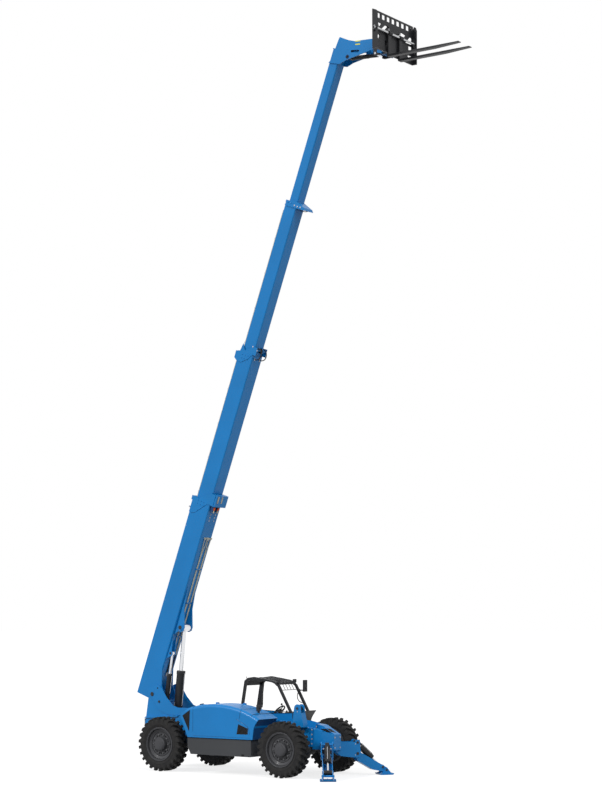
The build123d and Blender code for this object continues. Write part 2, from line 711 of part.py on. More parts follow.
roof_in = cab_in + post + seat_gap
roof_wide = cab_out - cab_in - 2 * (post + seat_gap)
roof_seat = cross_bars[2][1] + bar / 2 + seat_gap
front_seat = cross_bars[1][1] + bar / 2 + seat_gap
with BuildPart() as cab_roof:
    with BuildSketch(side_plane(roof_in)):
        outline([(fx(-2190), 2214), (fx(-1990), 2246), (fx(-1810), roof_seat), (fx(-1740), roof_seat),
                 (fx(-1740), roof_seat + 16), (fx(-1990), 2263), (fx(-2190), 2232)])
    extrude(amount=-roof_wide)
    for count in range(5):
        with BuildSketch(side_plane(roof_in + 75 + count * (roof_wide - 180) / 4)):
            outline([(fx(-1750), roof_seat), (fx(-1750), roof_seat + 16),
                     (fx(-1262), front_seat + 16), (fx(-1236), front_seat),
                     (fx(-1290), front_seat)])
        extrude(amount=-30)
    with Locations((cross_bars[0][0] - bar / 2 - 7 - seat_gap, (cab_in + cab_out) / 2, 2130)):
        Box(14, roof_wide, 140)
save(cab_roof.part, "cab_roof")
print("roof", len(cab_roof.part.solids()))

with BuildPart() as seat:
    with BuildSketch(side_plane(550)):
        outline([(fx(-2180), 1000), (fx(-2160), 1120), (fx(-2205), 1480), (fx(-2170), 1520),
                 (fx(-2110), 1510), (fx(-2030), 1180), (fx(-1650), 1150), (fx(-1620), 1090),
                 (fx(-1660), 1000), (fx(-1760), 980), (fx(-1760), cab_floor_z + cab_wall),
                 (fx(-2080), cab_floor_z + cab_wall), (fx(-2080), 980)])
    extrude(amount=-480)
save(seat.part, "seat")

wheel_at = Vector(fx(-1433), 760, 1463)
wheel_r = 165.0
grip_r = 13.0
column_dir = Vector(-0.7, 0, 0.714)
with BuildPart() as steering:
    with BuildSketch(side_plane(640)):
        outline([(fx(-1020), cab_floor_z + cab_wall), (fx(-1130), 1120), (fx(-1300), 1290),
                 (fx(-1270), 1360), (fx(-1130), 1400), (fx(-1000), 1380),
                 (fx(-900), cab_floor_z + cab_wall)])
    extrude(amount=-240)
    with BuildSketch(Plane(origin=wheel_at, x_dir=(0, 1, 0), z_dir=column_dir).offset(-200)):
        Circle(30)
    extrude(amount=200)
    with BuildSketch(Plane(origin=wheel_at, x_dir=(0, 1, 0), z_dir=column_dir).offset(-grip_r)):
        Circle(wheel_r)
        Circle(wheel_r - 2 * grip_r, mode=Mode.SUBTRACT)
        Rectangle(2 * wheel_r - 2 * grip_r + 4, 30)
    extrude(amount=2 * grip_r)
save(steering.part, "steering_console")
print("steering", len(steering.part.solids()))

visor_foot = (fx(-1176), 1970)
visor_head = (cross_bars[1][0] + 6, cross_bars[1][1] - bar / 2 - seat_gap)
with BuildPart() as visor:
    with Locations(Location((visor_foot[0], (cab_in + cab_out) / 2, visor_foot[1]), (90, 0, 0))):
        Cylinder(8, roof_wide)
    for y in (520, 650, 770, 900, 1020):
        with BuildSketch(side_plane(y + 6)):
            outline([(visor_foot[0] - 6, visor_foot[1]), (visor_foot[0] + 6, visor_foot[1]),
                     (visor_head[0] + 6, visor_head[1]), (visor_head[0] - 6, visor_head[1])])
        extrude(amount=12)
save(visor.part, "visor")
print("visor", len(visor.part.solids()))

with BuildPart() as mirror_left:
    with Locations((fx(-1040), 1300, 2058)):
        Box(50, 130, 290)
    with Locations((fx(-1163), cab_out + 15, 1950)):
        Box(26, 30, 60)
    with Locations((fx(-1098), cab_out + 35, 1950)):
        Box(156, 20, 26)
save(mirror_left.part, "mirror_left")
with BuildPart() as mirror_right:
    with Locations((mirror_foot[0], mirror_foot[1], mirror_foot[2] + 111)):
        Box(60, 110, 150)
    with Locations(mirror_foot):
        Box(40, 40, 90)
save(mirror_right.part, "mirror_right")

sway_foot_at = Vector(*sway_foot)
sway_pin_at = Vector(sway_x, sway_y, sway_pin_z)
sway_line = sway_pin_at - sway_foot_at
with BuildPart() as sway:
    with BuildSketch(Plane(origin=sway_foot_at, x_dir=(1, 0, 0), z_dir=sway_line)):
        Circle(28)
    extrude(amount=200)
    with BuildSketch(Plane(origin=sway_foot_at, x_dir=(1, 0, 0), z_dir=sway_line).offset(150)):
        Circle(40)
    extrude(amount=sway_line.length - 190)
    for at, half, outer, bore in ((sway_foot_at, sway_eye_half, 45, sway_foot_pin_r),
                                  (sway_pin_at, sway_half - 2, 50, sway_pin_r)):
        with BuildSketch(side_plane(at.Y + half)):
            with Locations((at.X, at.Z)):
                Circle(outer)
        extrude(amount=2 * half)
        with BuildSketch(side_plane(at.Y + half)):
            with Locations((at.X, at.Z)):
                Circle(bore + run_gap)
        extrude(amount=2 * half, mode=Mode.SUBTRACT)
save(sway.part, "sway_ram")
print("sway", len(sway.part.solids()))

# -------------------------------------------------------------------------- boom
sections = [                  # name, from s, to s, n of top, n of underside, width, wall
    ("boom_base", -195, 5070, -630, -45, 460, 10.0),
    ("boom_second", 3900, 8920, -540, -70, 405, 8.0),
    ("boom_third", 7800, 12870, -455, -92, 350, 8.0),
    ("boom_tip", 11750, 16750, -378, -112, 296, 8.0),
]
corner_r = 30.0
tele_travel = 3500.0


def tube_section(s_from, s_to, n_top, n_under, width, wall):
    """Square tube along the boom with rounded corners."""
    depth = n_under - n_top
    middle = (n_top + n_under) / 2
    with BuildPart() as tube:
        with BuildSketch(boom_cut(s_from, middle)):
            RectangleRounded(width, depth, corner_r)
            RectangleRounded(width - 2 * wall, depth - 2 * wall, corner_r - wall, mode=Mode.SUBTRACT)
        extrude(amount=s_to - s_from)
    return tube.part


def wear_pads(outer, inner):
    """Four pads inside the outer section's front end that guide the inner section."""
    _, _, end, n_top, n_under, width, wall = outer
    _, _, _, in_top, in_under, in_width, _ = inner
    middle = (in_top + in_under) / 2
    rows = [                  # y from, y to, n from, n to
        (-90, 90, n_top + wall, in_top - seat_gap),
        (-90, 90, in_under + seat_gap, n_under - wall),
        (in_width / 2 + seat_gap, width / 2 - wall, middle - 70, middle + 70),
        (wall - width / 2, -in_width / 2 - seat_gap, middle - 70, middle + 70),
    ]
    with BuildPart() as pads:
        with BuildSketch(boom_cut(end - 110)):
            for y_from, y_to, n_from, n_to in rows:
                with Locations(((y_from + y_to) / 2, -(n_from + n_to) / 2)):
                    Rectangle(y_to - y_from, n_to - n_from)
        extrude(amount=90)
    return pads.part


lift_eye = (1810.0, 90.0)     # lift ram's pin on the boom: s, n
level_eye = (1096.0, 30.0)
lug_thick = 30.0
eye_room = 145.0              # half the room between the lift ram's lugs
eye_drum_r = 100.0
carriage_pin = (17070.0, 885.0)
carriage_pin_r = 30.0
tilt_eye = (16630.0, 130.0)
head_half = 172.0
head_wall = 22.0
boom_parts = {}
lift_lug = [                  # s, minus n
    (1560, 50), (1700, -60), (1700, -140), (1760, -200), (1850, -205), (1950, -165),
    (2270, -40), (2900, 50),
]
level_lug = [(930, 50), (1030, -60), (1060, -85), (1130, -85), (1160, -40), (1560, 50)]
tail_plate = [
    (-180, 60), (-160, -100), (-60, -190), (60, -200), (121, -188), (238, -74), (666, 69),
    (666, 100), (-180, 100),
]
collar_plates = {             # side plates at each section's front end: s, minus n
    "boom_base": [(4656, 540), (4690, 440), (4991, 148), (5018, 66), (4994, -51), (5300, -51),
                  (5300, 20), (5290, 130), (5060, 450), (5080, 480), (5080, 660), (4970, 660),
                  (4970, 622), (4656, 622)],
    "boom_second": [(8664, 382), (8813, 183), (8932, 93), (8932, 0), (9138, 0), (9138, 67),
                    (9129, 147), (8977, 362), (9134, 463), (8938, 501), (8904, 624), (8730, 620),
                    (8665, 519)],
    "boom_third": [(12715, 372), (12727, 77), (12734, -198), (12795, -145), (12904, 162),
                   (12858, 392), (12740, 452)],
}
collar_plate = 10.0
sheave_at = (9070, 20)
sheave_r = 65.0
guide_box = [(5000, 45), (5000, -100), (5300, -100), (5300, 20), (5292, 45)]
guide_room = [(4999, 33), (4999, -88), (5288, -88), (5288, 33)]
nose_strip = [(12734, -198), (12795, -145), (12880, 94), (12862, 94), (12782, -132), (12736, -182)]


def collar(name, width):
    """Side plates, one on each side of a section's front end."""
    with BuildPart() as plates:
        for y in (width / 2 + collar_plate, -width / 2):
            with BuildSketch(boom_side(y)):
                outline(collar_plates[name])
            extrude(amount=collar_plate)
    return plates.part


for name, s_from, s_to, n_top, n_under, width, wall in sections:
    boom_parts[name] = tube_section(s_from, s_to, n_top, n_under, width, wall)

with BuildPart() as boom_base:
    add(boom_parts["boom_base"])
    add(wear_pads(sections[0], sections[1]))
    add(collar("boom_base", sections[0][5]))
    for y in (sections[0][5] / 2, -sections[0][5] / 2 + plate):
        with BuildSketch(boom_side(y)):
            outline(tail_plate)
            Circle(pivot_pin_r + run_gap, mode=Mode.SUBTRACT)
        extrude(amount=plate)
    with BuildSketch(boom_side(frame_half - plate - side_gap)):
        Circle(85)
        Circle(pivot_pin_r + run_gap, mode=Mode.SUBTRACT)
    extrude(amount=2 * (frame_half - plate - side_gap))
    with BuildSketch(boom_side(frame_half)):
        Circle(pivot_pin_r + run_gap)
    extrude(amount=2 * frame_half, mode=Mode.SUBTRACT)
    for y in (eye_room + lug_thick, -eye_room):
        with BuildSketch(boom_side(y)):
            outline(lift_lug)
        extrude(amount=lug_thick)
    for y in (-65 + 20, -175):
        with BuildSketch(boom_side(y)):
            outline(level_lug)
        extrude(amount=20)
    with BuildSketch(boom_cut(5000, -630 - 20)):
        Rectangle(400, 40)
    extrude(amount=70)
    with BuildSketch(boom_side(sections[0][5] / 2)):
        outline(guide_box)
    extrude(amount=sections[0][5])
    with BuildSketch(boom_side(sections[0][5] / 2 - 12)):
        outline(guide_room)
    extrude(amount=sections[0][5] - 24, mode=Mode.SUBTRACT)
save(boom_base.part, "boom_base")
print("boom base", len(boom_base.part.solids()))

tube_r = 10.0
tube_seat = 45 - tube_r - seat_gap
with BuildPart() as boom_tubes:
    with BuildSketch(boom_cut(1000, -tube_seat)):
        for y in (-20, 25, 70, 115):
            with Locations((y, 0)):
                Circle(tube_r)
    extrude(amount=3150)
    for s in (1500, 2400, 3300, 4130):
        with BuildSketch(boom_cut(s, -tube_seat)):
            with Locations((47.5, 0)):
                Rectangle(175, 2 * tube_r)
        extrude(amount=30)
save(boom_tubes.part, "boom_tubes")
print("tubes", len(boom_tubes.part.solids()))

for name, row, inner in (("boom_second", sections[1], sections[2]),
                         ("boom_third", sections[2], sections[3])):
    with BuildPart() as section:
        add(boom_parts[name])
        add(wear_pads(row, inner))
        add(collar(name, row[5]))
        if name == "boom_second":
            with BuildSketch(boom_side(row[5] / 2)):
                with Locations(sheave_at):
                    Circle(16)
            extrude(amount=row[5])
            with BuildSketch(boom_side(22)):
                with Locations(sheave_at):
                    Circle(sheave_r)
            extrude(amount=44)
        else:
            with BuildSketch(boom_side(row[5] / 2)):
                outline(nose_strip)
            extrude(amount=row[5])
        with BuildSketch(boom_cut(row[2] - 60, row[3] - 15)):
            Rectangle(row[5] - 80, 30)
        extrude(amount=60)
    save(section.part, name)
    print(name, len(section.part.solids()))

with BuildPart() as boom_tip:
    add(boom_parts["boom_tip"])
    for side in (-1, 1):
        y = head_half if side > 0 else -head_half + head_wall
        with BuildSketch(boom_side(y)):
            outline([
                (16380, 378), (16473, 325), (17000, 275), (17056, 262), (17028, -23),
                (17038, -210), (17175, -663), (17215, -890), (17110, -975), (17010, -960),
                (16960, -840), (16536, -101), (16480, -40), (16414, 40),
            ])
            with Locations((carriage_pin[0], -carriage_pin[1])):
                Circle(carriage_pin_r + run_gap, mode=Mode.SUBTRACT)
            with Locations((16802, -303)):
                SlotOverall(249, 60, rotation=-77, mode=Mode.SUBTRACT)
            with Locations((tilt_eye[0], -tilt_eye[1])):
                Circle(20)
        extrude(amount=head_wall)
    with BuildSketch(boom_side(head_half)):
        with Locations((tilt_eye[0], -tilt_eye[1])):
            Circle(20)
    extrude(amount=2 * head_half)
    with BuildSketch(boom_cut(16740, -245)):
        Rectangle(2 * (head_half - head_wall), 270)
    extrude(amount=20)
    for s, n in ((17015, 190), (17010, -300)):
        with BuildSketch(boom_side(head_half - head_wall)):
            with Locations((s, n)):
                Rectangle(30, 180)
        extrude(amount=2 * (head_half - head_wall))
save(boom_tip.part, "boom_tip")
print("boom tip", len(boom_tip.part.solids()))


# ------------------------------------------------------------ rams on the boom
def ram_pair(name, foot, eye, y, barrel_r, rod_r, barrel_len, foot_r, eye_r, half):
    """Barrel and rod of one ram between two pins in the machine's side view."""
    start = Vector(foot[0], y, foot[1])
    end = Vector(eye[0], y, eye[1])
    along = end - start
    ram = Plane(origin=start, x_dir=(0, 1, 0), z_dir=along)
    wall = barrel_r * 0.22
    gland = 60
    with BuildPart() as barrel:
        with BuildSketch(ram.offset(foot_r + 5)):
            Circle(barrel_r)
        extrude(amount=barrel_len - foot_r - 5)
        with BuildSketch(ram):
            Rectangle(2 * half, foot_r * 1.6)
        extrude(amount=foot_r + 25)
        with BuildSketch(side_plane(y + half)):
            with Locations((foot[0], foot[1])):
                Circle(foot_r)
        extrude(amount=2 * half)
        with BuildSketch(ram.offset(foot_r + 50)):
            Circle(barrel_r - wall)
        extrude(amount=barrel_len - foot_r - 50 - gland, mode=Mode.SUBTRACT)
        with BuildSketch(ram.offset(barrel_len)):
            Circle(rod_r + run_gap)
        extrude(amount=-gland - 1, mode=Mode.SUBTRACT)
    tail = barrel_len * 0.1
    with BuildPart() as rod:
        with BuildSketch(ram.offset(barrel_len - tail)):
            Circle(rod_r)
        extrude(amount=along.length - barrel_len + tail)
        with BuildSketch(side_plane(y + half)):
            with Locations((eye[0], eye[1])):
                Circle(eye_r)
        extrude(amount=2 * half)
    return barrel.part, rod.part, along.length


def boom_xz(s, n):
    """Side-view place of a boom point."""
    at = boom_point(s, n)
    return (at[0], at[2])


ram_rows = [  # name, foot, eye, y, barrel r, rod r, barrel length, foot r, eye r, half width
    ("lift", lift_base, boom_xz(*lift_eye), 0.0, 105, 54, 1215, 95, eye_drum_r, eye_room - 5),
    ("level", level_base, boom_xz(*level_eye), -120.0, 65, 30, 690, 60, 48, 40),
    ("tilt", boom_xz(*tilt_eye), (fx(2095), 17350), 0.0, 52, 28, 520, 48, 42, 60),
]
for name, foot, eye, y, barrel_r, rod_r, barrel_len, foot_r, eye_r, half in ram_rows:
    barrel_part, rod_part, length = ram_pair(name, foot, eye, y, barrel_r, rod_r, barrel_len,
                                             foot_r, eye_r, half)
    pin_r = {"lift": 40.0, "level": 25.0, "tilt": 20.0}[name]
    with BuildPart() as barrel:
        add(barrel_part)
        with BuildSketch(side_plane(y + half + 1)):
            with Locations(foot):
                Circle(pin_r + run_gap)
        extrude(amount=2 * half + 2, mode=Mode.SUBTRACT)
    save(barrel.part, f"{name}_barrel")
    save(rod_part, f"{name}_rod")
    print(name, length, len(barrel.part.solids()), len(rod_part.solids()))

# ---------------------------------------------------------------- carriage, forks
carriage_x = fx(2610)         # front face of its end plates
carriage_low = 17240.0
carriage_high = 18215.0
carriage_half = 900.0
end_depth = 140.0
end_thick = 28.0
lattice_thick = 30.0
lattice_x = carriage_x - end_depth - 10
fork_shaft_r = 25.0
fork_shaft = (carriage_x - 65, 17755.0)
slot_step = 216.0
slot_wide = 148.0
slot_high = 125.0
top_bar = 40.0
carriage_step = (-205.0, 50.0)     # the lower edge is cut back this far, left of this y
lattice_holes = [             # corner points, as y and distance below the top edge
    [(-695, 270), (-517, 275), (-636, 399)],
    [(-358, 270), (-189, 290), (-320, 452), (-568, 436)],
    [(-69, 356), (-19, 421), (-140, 423)],
    [(368, 275), (573, 297), (427, 445), (172, 452)],
    [(769, 288), (851, 307), (849, 477), (550, 482)],
    [(-707, 570), (-610, 570), (-610, 754), (-707, 754)],
    [(243, 591), (322, 591), (322, 694), (243, 694)],
    [(683, 529), (848, 529), (848, 635), (683, 635)],
    [(650, 765), (846, 765), (846, 820), (650, 820)],
]
head_plate = 30.0
head_side = 8.0               # between the carriage's plates and the boom's head
pin_x, _, pin_z = boom_point(*carriage_pin)
with BuildPart() as carriage:
    with BuildSketch(Plane(origin=(lattice_x, 0, 0), x_dir=(0, 1, 0), z_dir=(1, 0, 0))):
        with Locations((0, (carriage_low + carriage_high) / 2)):
            Rectangle(2 * carriage_half, carriage_high - carriage_low)
        for count in range(-3, 4):
            with Locations((count * slot_step, carriage_high - top_bar - slot_high / 2)):
                Rectangle(slot_wide, slot_high, mode=Mode.SUBTRACT)
        for side in (-1, 1):
            edge = side * (3 * slot_step + slot_wide / 2 + 68)
            Polygon((edge, carriage_high - top_bar), (edge + side * 70, carriage_high - top_bar),
                    (edge + side * 70, carriage_high - top_bar - slot_high), align=None,
                    mode=Mode.SUBTRACT)
        for corners in lattice_holes:
            Polygon(*[(y, carriage_high - drop) for y, drop in corners], align=None,
                    mode=Mode.SUBTRACT)
        with Locations((-352, carriage_high - 715)):
            Circle(65, mode=Mode.SUBTRACT)
        with Locations(((carriage_step[0] - carriage_half) / 2, carriage_low)):
            Rectangle(carriage_half + carriage_step[0] + 1, 2 * carriage_step[1],
                      mode=Mode.SUBTRACT)
    extrude(amount=lattice_thick)
    for side in (-1, 1):
        with BuildSketch(side_plane(side * carriage_half)):
            outline([
                (lattice_x, carriage_low), (carriage_x - 10, carriage_low),
                (carriage_x - 5, carriage_high - 125), (carriage_x - 35, carriage_high - 40),
                (lattice_x + 75, carriage_high - 20), (lattice_x + 37, carriage_high - 100),
                (lattice_x + 8, carriage_high - 260), (lattice_x, carriage_high - 600),
            ])
        extrude(amount=side * end_thick)
    with Locations(Location((fork_shaft[0], 0, fork_shaft[1]), (90, 0, 0))):
        Cylinder(fork_shaft_r, 2 * carriage_half)
    with Locations((lattice_x - 40, 0, carriage_low + 330)):
        Box(80, 700, 240)
    for side in (-1, 1):
        outer = head_half + head_side + head_plate if side > 0 else -head_half - head_side
        with BuildSketch(side_plane(outer)):
            outline([(lattice_x, carriage_low + 60), (lattice_x, carriage_high - 250),
                     (pin_x + 20, pin_z + 110), (pin_x - 70, pin_z + 60), (pin_x - 80, pin_z - 50),
                     (fx(2045), carriage_low + 80), (fx(2110), carriage_low + 55)])
        extrude(amount=head_plate)
    with Locations(Location((pin_x, 0, pin_z), (90, 0, 0))):
        Cylinder(carriage_pin_r, 2 * (head_half + head_side + head_plate))
save(carriage.part, "carriage")
print("carriage", len(carriage.part.solids()))

fork_y = 250.0
fork_half = 65.0
fork_top = 17225.0
fork_tip = fx(4485)
fork_thick = 50.0
shank_back = lattice_x + lattice_thick + side_gap
eye_r = fork_shaft[0] - shank_back
for name, side in (("right", -1), ("left", 1)):
    with BuildPart() as fork:
        with BuildSketch(side_plane(side * fork_y + fork_half)):
            outline([
                (shank_back, fork_shaft[1]), (shank_back, fork_top - fork_thick + 10),
                (shank_back + 15, fork_top - fork_thick), (fork_tip - 700, fork_top - fork_thick),
                (fork_tip, fork_top - 16), (fork_tip, fork_top), (shank_back + fork_thick, fork_top),
                (shank_back + fork_thick, fork_shaft[1]),
            ])
            with Locations(fork_shaft):
                Circle(eye_r)
                Circle(fork_shaft_r + run_gap, mode=Mode.SUBTRACT)
        extrude(amount=2 * fork_half)
    save(fork.part, f"fork_{name}")
    print("fork", len(fork.part.solids()), eye_r)
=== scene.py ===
"""Telehandler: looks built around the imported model.

Metres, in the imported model's frame: +X forward, +Y to the machine's left, +Z up.
Places on the machine are given from its front axle, and places on the boom from its pivot.
"""
import json
import math

import bmesh
import bpy
import numpy as np
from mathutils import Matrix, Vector


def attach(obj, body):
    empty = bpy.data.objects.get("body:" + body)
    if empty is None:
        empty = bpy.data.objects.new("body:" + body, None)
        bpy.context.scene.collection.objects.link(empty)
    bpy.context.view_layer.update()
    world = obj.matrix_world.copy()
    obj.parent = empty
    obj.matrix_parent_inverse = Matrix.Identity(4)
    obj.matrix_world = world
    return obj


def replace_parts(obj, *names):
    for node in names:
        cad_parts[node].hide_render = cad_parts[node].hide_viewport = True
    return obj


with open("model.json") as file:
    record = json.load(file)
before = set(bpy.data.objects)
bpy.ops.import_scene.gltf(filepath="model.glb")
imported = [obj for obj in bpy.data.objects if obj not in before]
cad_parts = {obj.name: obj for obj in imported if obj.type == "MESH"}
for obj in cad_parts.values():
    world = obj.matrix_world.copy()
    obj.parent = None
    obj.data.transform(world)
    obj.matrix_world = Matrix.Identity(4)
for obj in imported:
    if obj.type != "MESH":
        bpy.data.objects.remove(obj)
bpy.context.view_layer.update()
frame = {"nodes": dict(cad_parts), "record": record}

scene = bpy.context.scene
FRONT_AXLE = 0.36             # front axle, ahead of the origin
LEFT = np.array((0.0, 1.0, 0.0))
RIGHT = -LEFT
UP = np.array((0.0, 0.0, 1.0))
FORWARD = np.array((1.0, 0.0, 0.0))
REARWARD = -FORWARD


def at(x, y, z):
    """Place from its distance ahead of the front axle, its side and its height."""
    return np.array((FRONT_AXLE + x, y, z))


# -------------------------------------------------------------------- camera
CAMERA_PLACE = at(27.163, -38.979, 3.873)
CAMERA_YAW = 35.117           # degrees left of +Y
CAMERA_PITCH = 6.213          # degrees up
CAMERA_LENS = 87.86           # mm
SENSOR_WIDTH = 36.0           # mm


def look_from(place, yaw, pitch):
    """Camera at a place, turned yaw degrees to the left of +Y and pitch degrees up."""
    camera = bpy.data.objects.new("camera", bpy.data.cameras.new("camera"))
    camera.data.sensor_width = SENSOR_WIDTH
    camera.data.lens = CAMERA_LENS
    camera.data.clip_start = 0.5
    camera.data.clip_end = 400.0
    turn, rise = math.radians(yaw), math.radians(pitch)
    ahead = Vector((-math.sin(turn) * math.cos(rise), math.cos(turn) * math.cos(rise), math.sin(rise)))
    camera.location = place
    camera.rotation_mode = "QUATERNION"
    camera.rotation_quaternion = ahead.to_track_quat("-Z", "Y")
    scene.collection.objects.link(camera)
    scene.camera = camera


look_from(CAMERA_PLACE, CAMERA_YAW, CAMERA_PITCH)
scene.view_settings.view_transform = "Standard"


# ----------------------------------------------------------------- materials
WHITE = (1.0, 1.0, 1.0, 1.0)
DULL_SPECULAR = 0.22          # mirrored share of all that isn't metal


class Value:
    """A socket in a node tree; arithmetic on it adds the matching Math node."""

    def __init__(self, nodes, socket):
        self.nodes = nodes
        self.socket = socket

    def _math(self, operation, first, second):
        return self.nodes.node("ShaderNodeMath", {"operation": operation}, [first, second])

    def __add__(self, other):
        return self._math("ADD", self, other)

    __radd__ = __add__

    def __mul__(self, other):
        return self._math("MULTIPLY", self, other)

    __rmul__ = __mul__

    def largest(self, other):
        return self._math("MAXIMUM", self, other)


class Nodes:
    """A node tree, whose nodes all come from one method."""

    def __init__(self, tree):
        self.tree = tree

    def feed(self, socket, value):
        """Puts a number or colour on a socket, or links a value to it."""
        if isinstance(value, Value):
            self.tree.links.new(value.socket, socket)
        else:
            socket.default_value = value

    def node(self, kind, settings=None, inputs=(), output=0):
        """Any node: its settings first, then its inputs by order or by name."""
        made = self.tree.nodes.new(kind)
        for key, value in (settings or {}).items():
            setattr(made, key, value)
        pairs = inputs.items() if isinstance(inputs, dict) else enumerate(inputs)
        for key, value in pairs:
            self.feed(made.inputs[key], value)
        return Value(self, made.outputs[output])

    def looked_at(self):
        """1 where the camera looks, also mirrored or through glass; 0 for light on the way."""
        path = self.tree.nodes.new("ShaderNodeLightPath")
        camera, gloss, glass = (Value(self, path.outputs[f"Is {kind} Ray"])
                                for kind in ("Camera", "Glossy", "Transmission"))
        return camera.largest(gloss).largest(glass)


class Finish(Nodes):
    """One material: a Principled shader and the nodes that feed it."""

    def __init__(self, name, colour, roughness, metallic=0.0, coat=0.0):
        self.material = bpy.data.materials.new(name)
        self.material.use_nodes = True
        super().__init__(self.material.node_tree)
        self.set("Base Color", (*colour, 1.0))
        self.set("Roughness", roughness)
        self.set("Metallic", metallic)
        self.set("Coat Weight", coat)
        self.set("Coat Roughness", 0.12 if coat else 0.1)
        if not metallic:
            self.set("Specular IOR Level", DULL_SPECULAR)
        self.place = self.node("ShaderNodeTexCoord", output="Object")

    def set(self, name, value):
        """Puts a number, a colour or a value on one of the shader's sockets."""
        self.feed(self.tree.nodes["Principled BSDF"].inputs[name], value)

    def noise(self, scale, detail):
        """Cloudy value from 0 to 1; scale is in features per metre."""
        return self.node("ShaderNodeTexNoise", {}, {"Vector": self.place, "Scale": scale, "Detail": detail})

    def clouds(self, scale, detail, low, high, first, second):
        """Base colour in clouds between two colours, where the noise runs from low to high."""
        share = self.node("ShaderNodeMapRange", {"clamp": True},
                          {"Value": self.noise(scale, detail), "From Min": low, "From Max": high})
        self.set("Base Color", self.node("ShaderNodeMix", {"data_type": "RGBA"},
                                         {0: share, 6: (*first, 1.0), 7: (*second, 1.0)}, 2))

    def bump(self, height, depth):
        """Feeds the shader's normal from a height, in metres of depth."""
        self.set("Normal", self.node("ShaderNodeBump", {}, {"Height": height, "Distance": depth,
                                                            "Strength": 1.0}))


def darker(colour, share):
    """Colour at a share of its light."""
    return tuple(c * share for c in colour)


def painted(name, colour, roughness, coat, shade=0.9):
    """Sprayed metal: faint clouds in its tone, slight haze in its gloss, orange peel."""
    paint = Finish(name, colour, roughness, 0.0, coat)
    paint.clouds(1.3, 4.0, 0.3, 0.7, darker(colour, shade), colour)
    paint.set("Roughness", roughness - 0.05 + 0.12 * paint.noise(6.0, 5.0))
    paint.bump(paint.noise(420.0, 2.0), 0.00012)
    return paint.material


def rubber():
    """Tyre rubber: dusty in clouds, finely pitted."""
    finish = Finish("tyre_rubber", (0.028, 0.027, 0.027), 0.78)
    finish.clouds(9.0, 6.0, 0.35, 0.75, (0.015, 0.015, 0.016), (0.027, 0.026, 0.025))
    finish.set("Roughness", 0.7 + 0.2 * finish.noise(24.0, 4.0))
    finish.bump(finish.noise(160.0, 5.0), 0.0006)
    return finish.material


def cast():
    """Painted casting with a rough skin."""
    finish = Finish("cast_dark", (0.032, 0.033, 0.036), 0.6)
    finish.set("Roughness", 0.5 + 0.25 * finish.noise(18.0, 5.0))
    finish.bump(finish.noise(140.0, 4.0), 0.0008)
    return finish.material


def chromed():
    """Hard chrome, ground and lightly oiled."""
    finish = Finish("rod_chrome", (0.72, 0.73, 0.75), 0.16, 1.0)
    finish.set("Roughness", 0.12 + 0.12 * finish.noise(30.0, 4.0))
    return finish.material


def bright_part(name, colour, roughness, metallic):
    """Plated or ground steel: an uneven gloss over faint clouds of tone."""
    finish = Finish(name, colour, roughness, metallic)
    finish.clouds(24.0, 4.0, 0.3, 0.7, darker(colour, 0.78), colour)
    finish.set("Roughness", roughness - 0.08 + 0.2 * finish.noise(70.0, 5.0))
    finish.bump(finish.noise(260.0, 3.0), 0.0002)
    return finish.material


def moulded(name, colour, roughness):
    """Moulded plastic or hose with a fine leather grain."""
    finish = Finish(name, colour, roughness)
    grain = finish.node("ShaderNodeTexVoronoi", {}, {"Vector": finish.place, "Scale": 520.0})
    finish.set("Roughness", roughness - 0.08 + 0.16 * finish.noise(14.0, 3.0))
    finish.bump(grain, 0.0003)
    return finish.material


# name, colour, roughness, coat, share of its light in the darker clouds
blue = painted("machine_blue", (0.004, 0.2, 0.545), 0.38, 0.14)
# painted shade: a darker copy of the machine's blue, for faces that lie in shadow
blue_painted_shade = painted("blue_painted_shade", (0.008, 0.06, 0.19), 0.5, 0.1)
black = painted("frame_black", (0.018, 0.019, 0.022), 0.45, 0.06, 0.8)
rim_grey = painted("rim_grey", (0.056, 0.057, 0.063), 0.5, 0.06, 0.85)
box_grey = painted("box_grey", (0.05, 0.053, 0.058), 0.55, 0.04, 0.88)
lamp_red = painted("lamp_red", (0.42, 0.012, 0.01), 0.2, 0.8, 0.8)
lamp_clear = painted("lamp_clear", (0.6, 0.6, 0.58), 0.15, 0.9)
decal_yellow = painted("decal_yellow", (0.82, 0.78, 0.02), 0.4, 0.2, 0.92)
light_metal = painted("light_metal", (0.19, 0.19, 0.195), 0.42, 0.1, 0.85)

tyre_rubber = rubber()
cast_dark = cast()
rod_chrome = chromed()

# name, colour, roughness
plastic = moulded("dark_plastic", (0.025, 0.025, 0.027), 0.55)
vinyl = moulded("seat_vinyl", (0.02, 0.02, 0.022), 0.5)
hose_tan = moulded("hose_tan", (0.56, 0.55, 0.44), 0.4)
hose_black = moulded("hose_black", (0.017, 0.017, 0.018), 0.5)
hose_red = moulded("hose_red", (0.62, 0.1, 0.025), 0.45)
hose_pale = moulded("hose_pale", (0.55, 0.5, 0.36), 0.45)
shadow_black = moulded("shadow_black", (0.006, 0.006, 0.007), 0.7)

# name, colour, roughness, metallic
zinc = bright_part("zinc_plate", (0.5, 0.51, 0.53), 0.4, 0.55)
nut_grey = bright_part("nut_grey", (0.17, 0.172, 0.18), 0.42, 0.5)
bright_steel = bright_part("bright_steel", (0.6, 0.61, 0.62), 0.26, 0.9)
mirror_silver = bright_part("mirror_silver", (0.75, 0.77, 0.79), 0.12, 1.0)

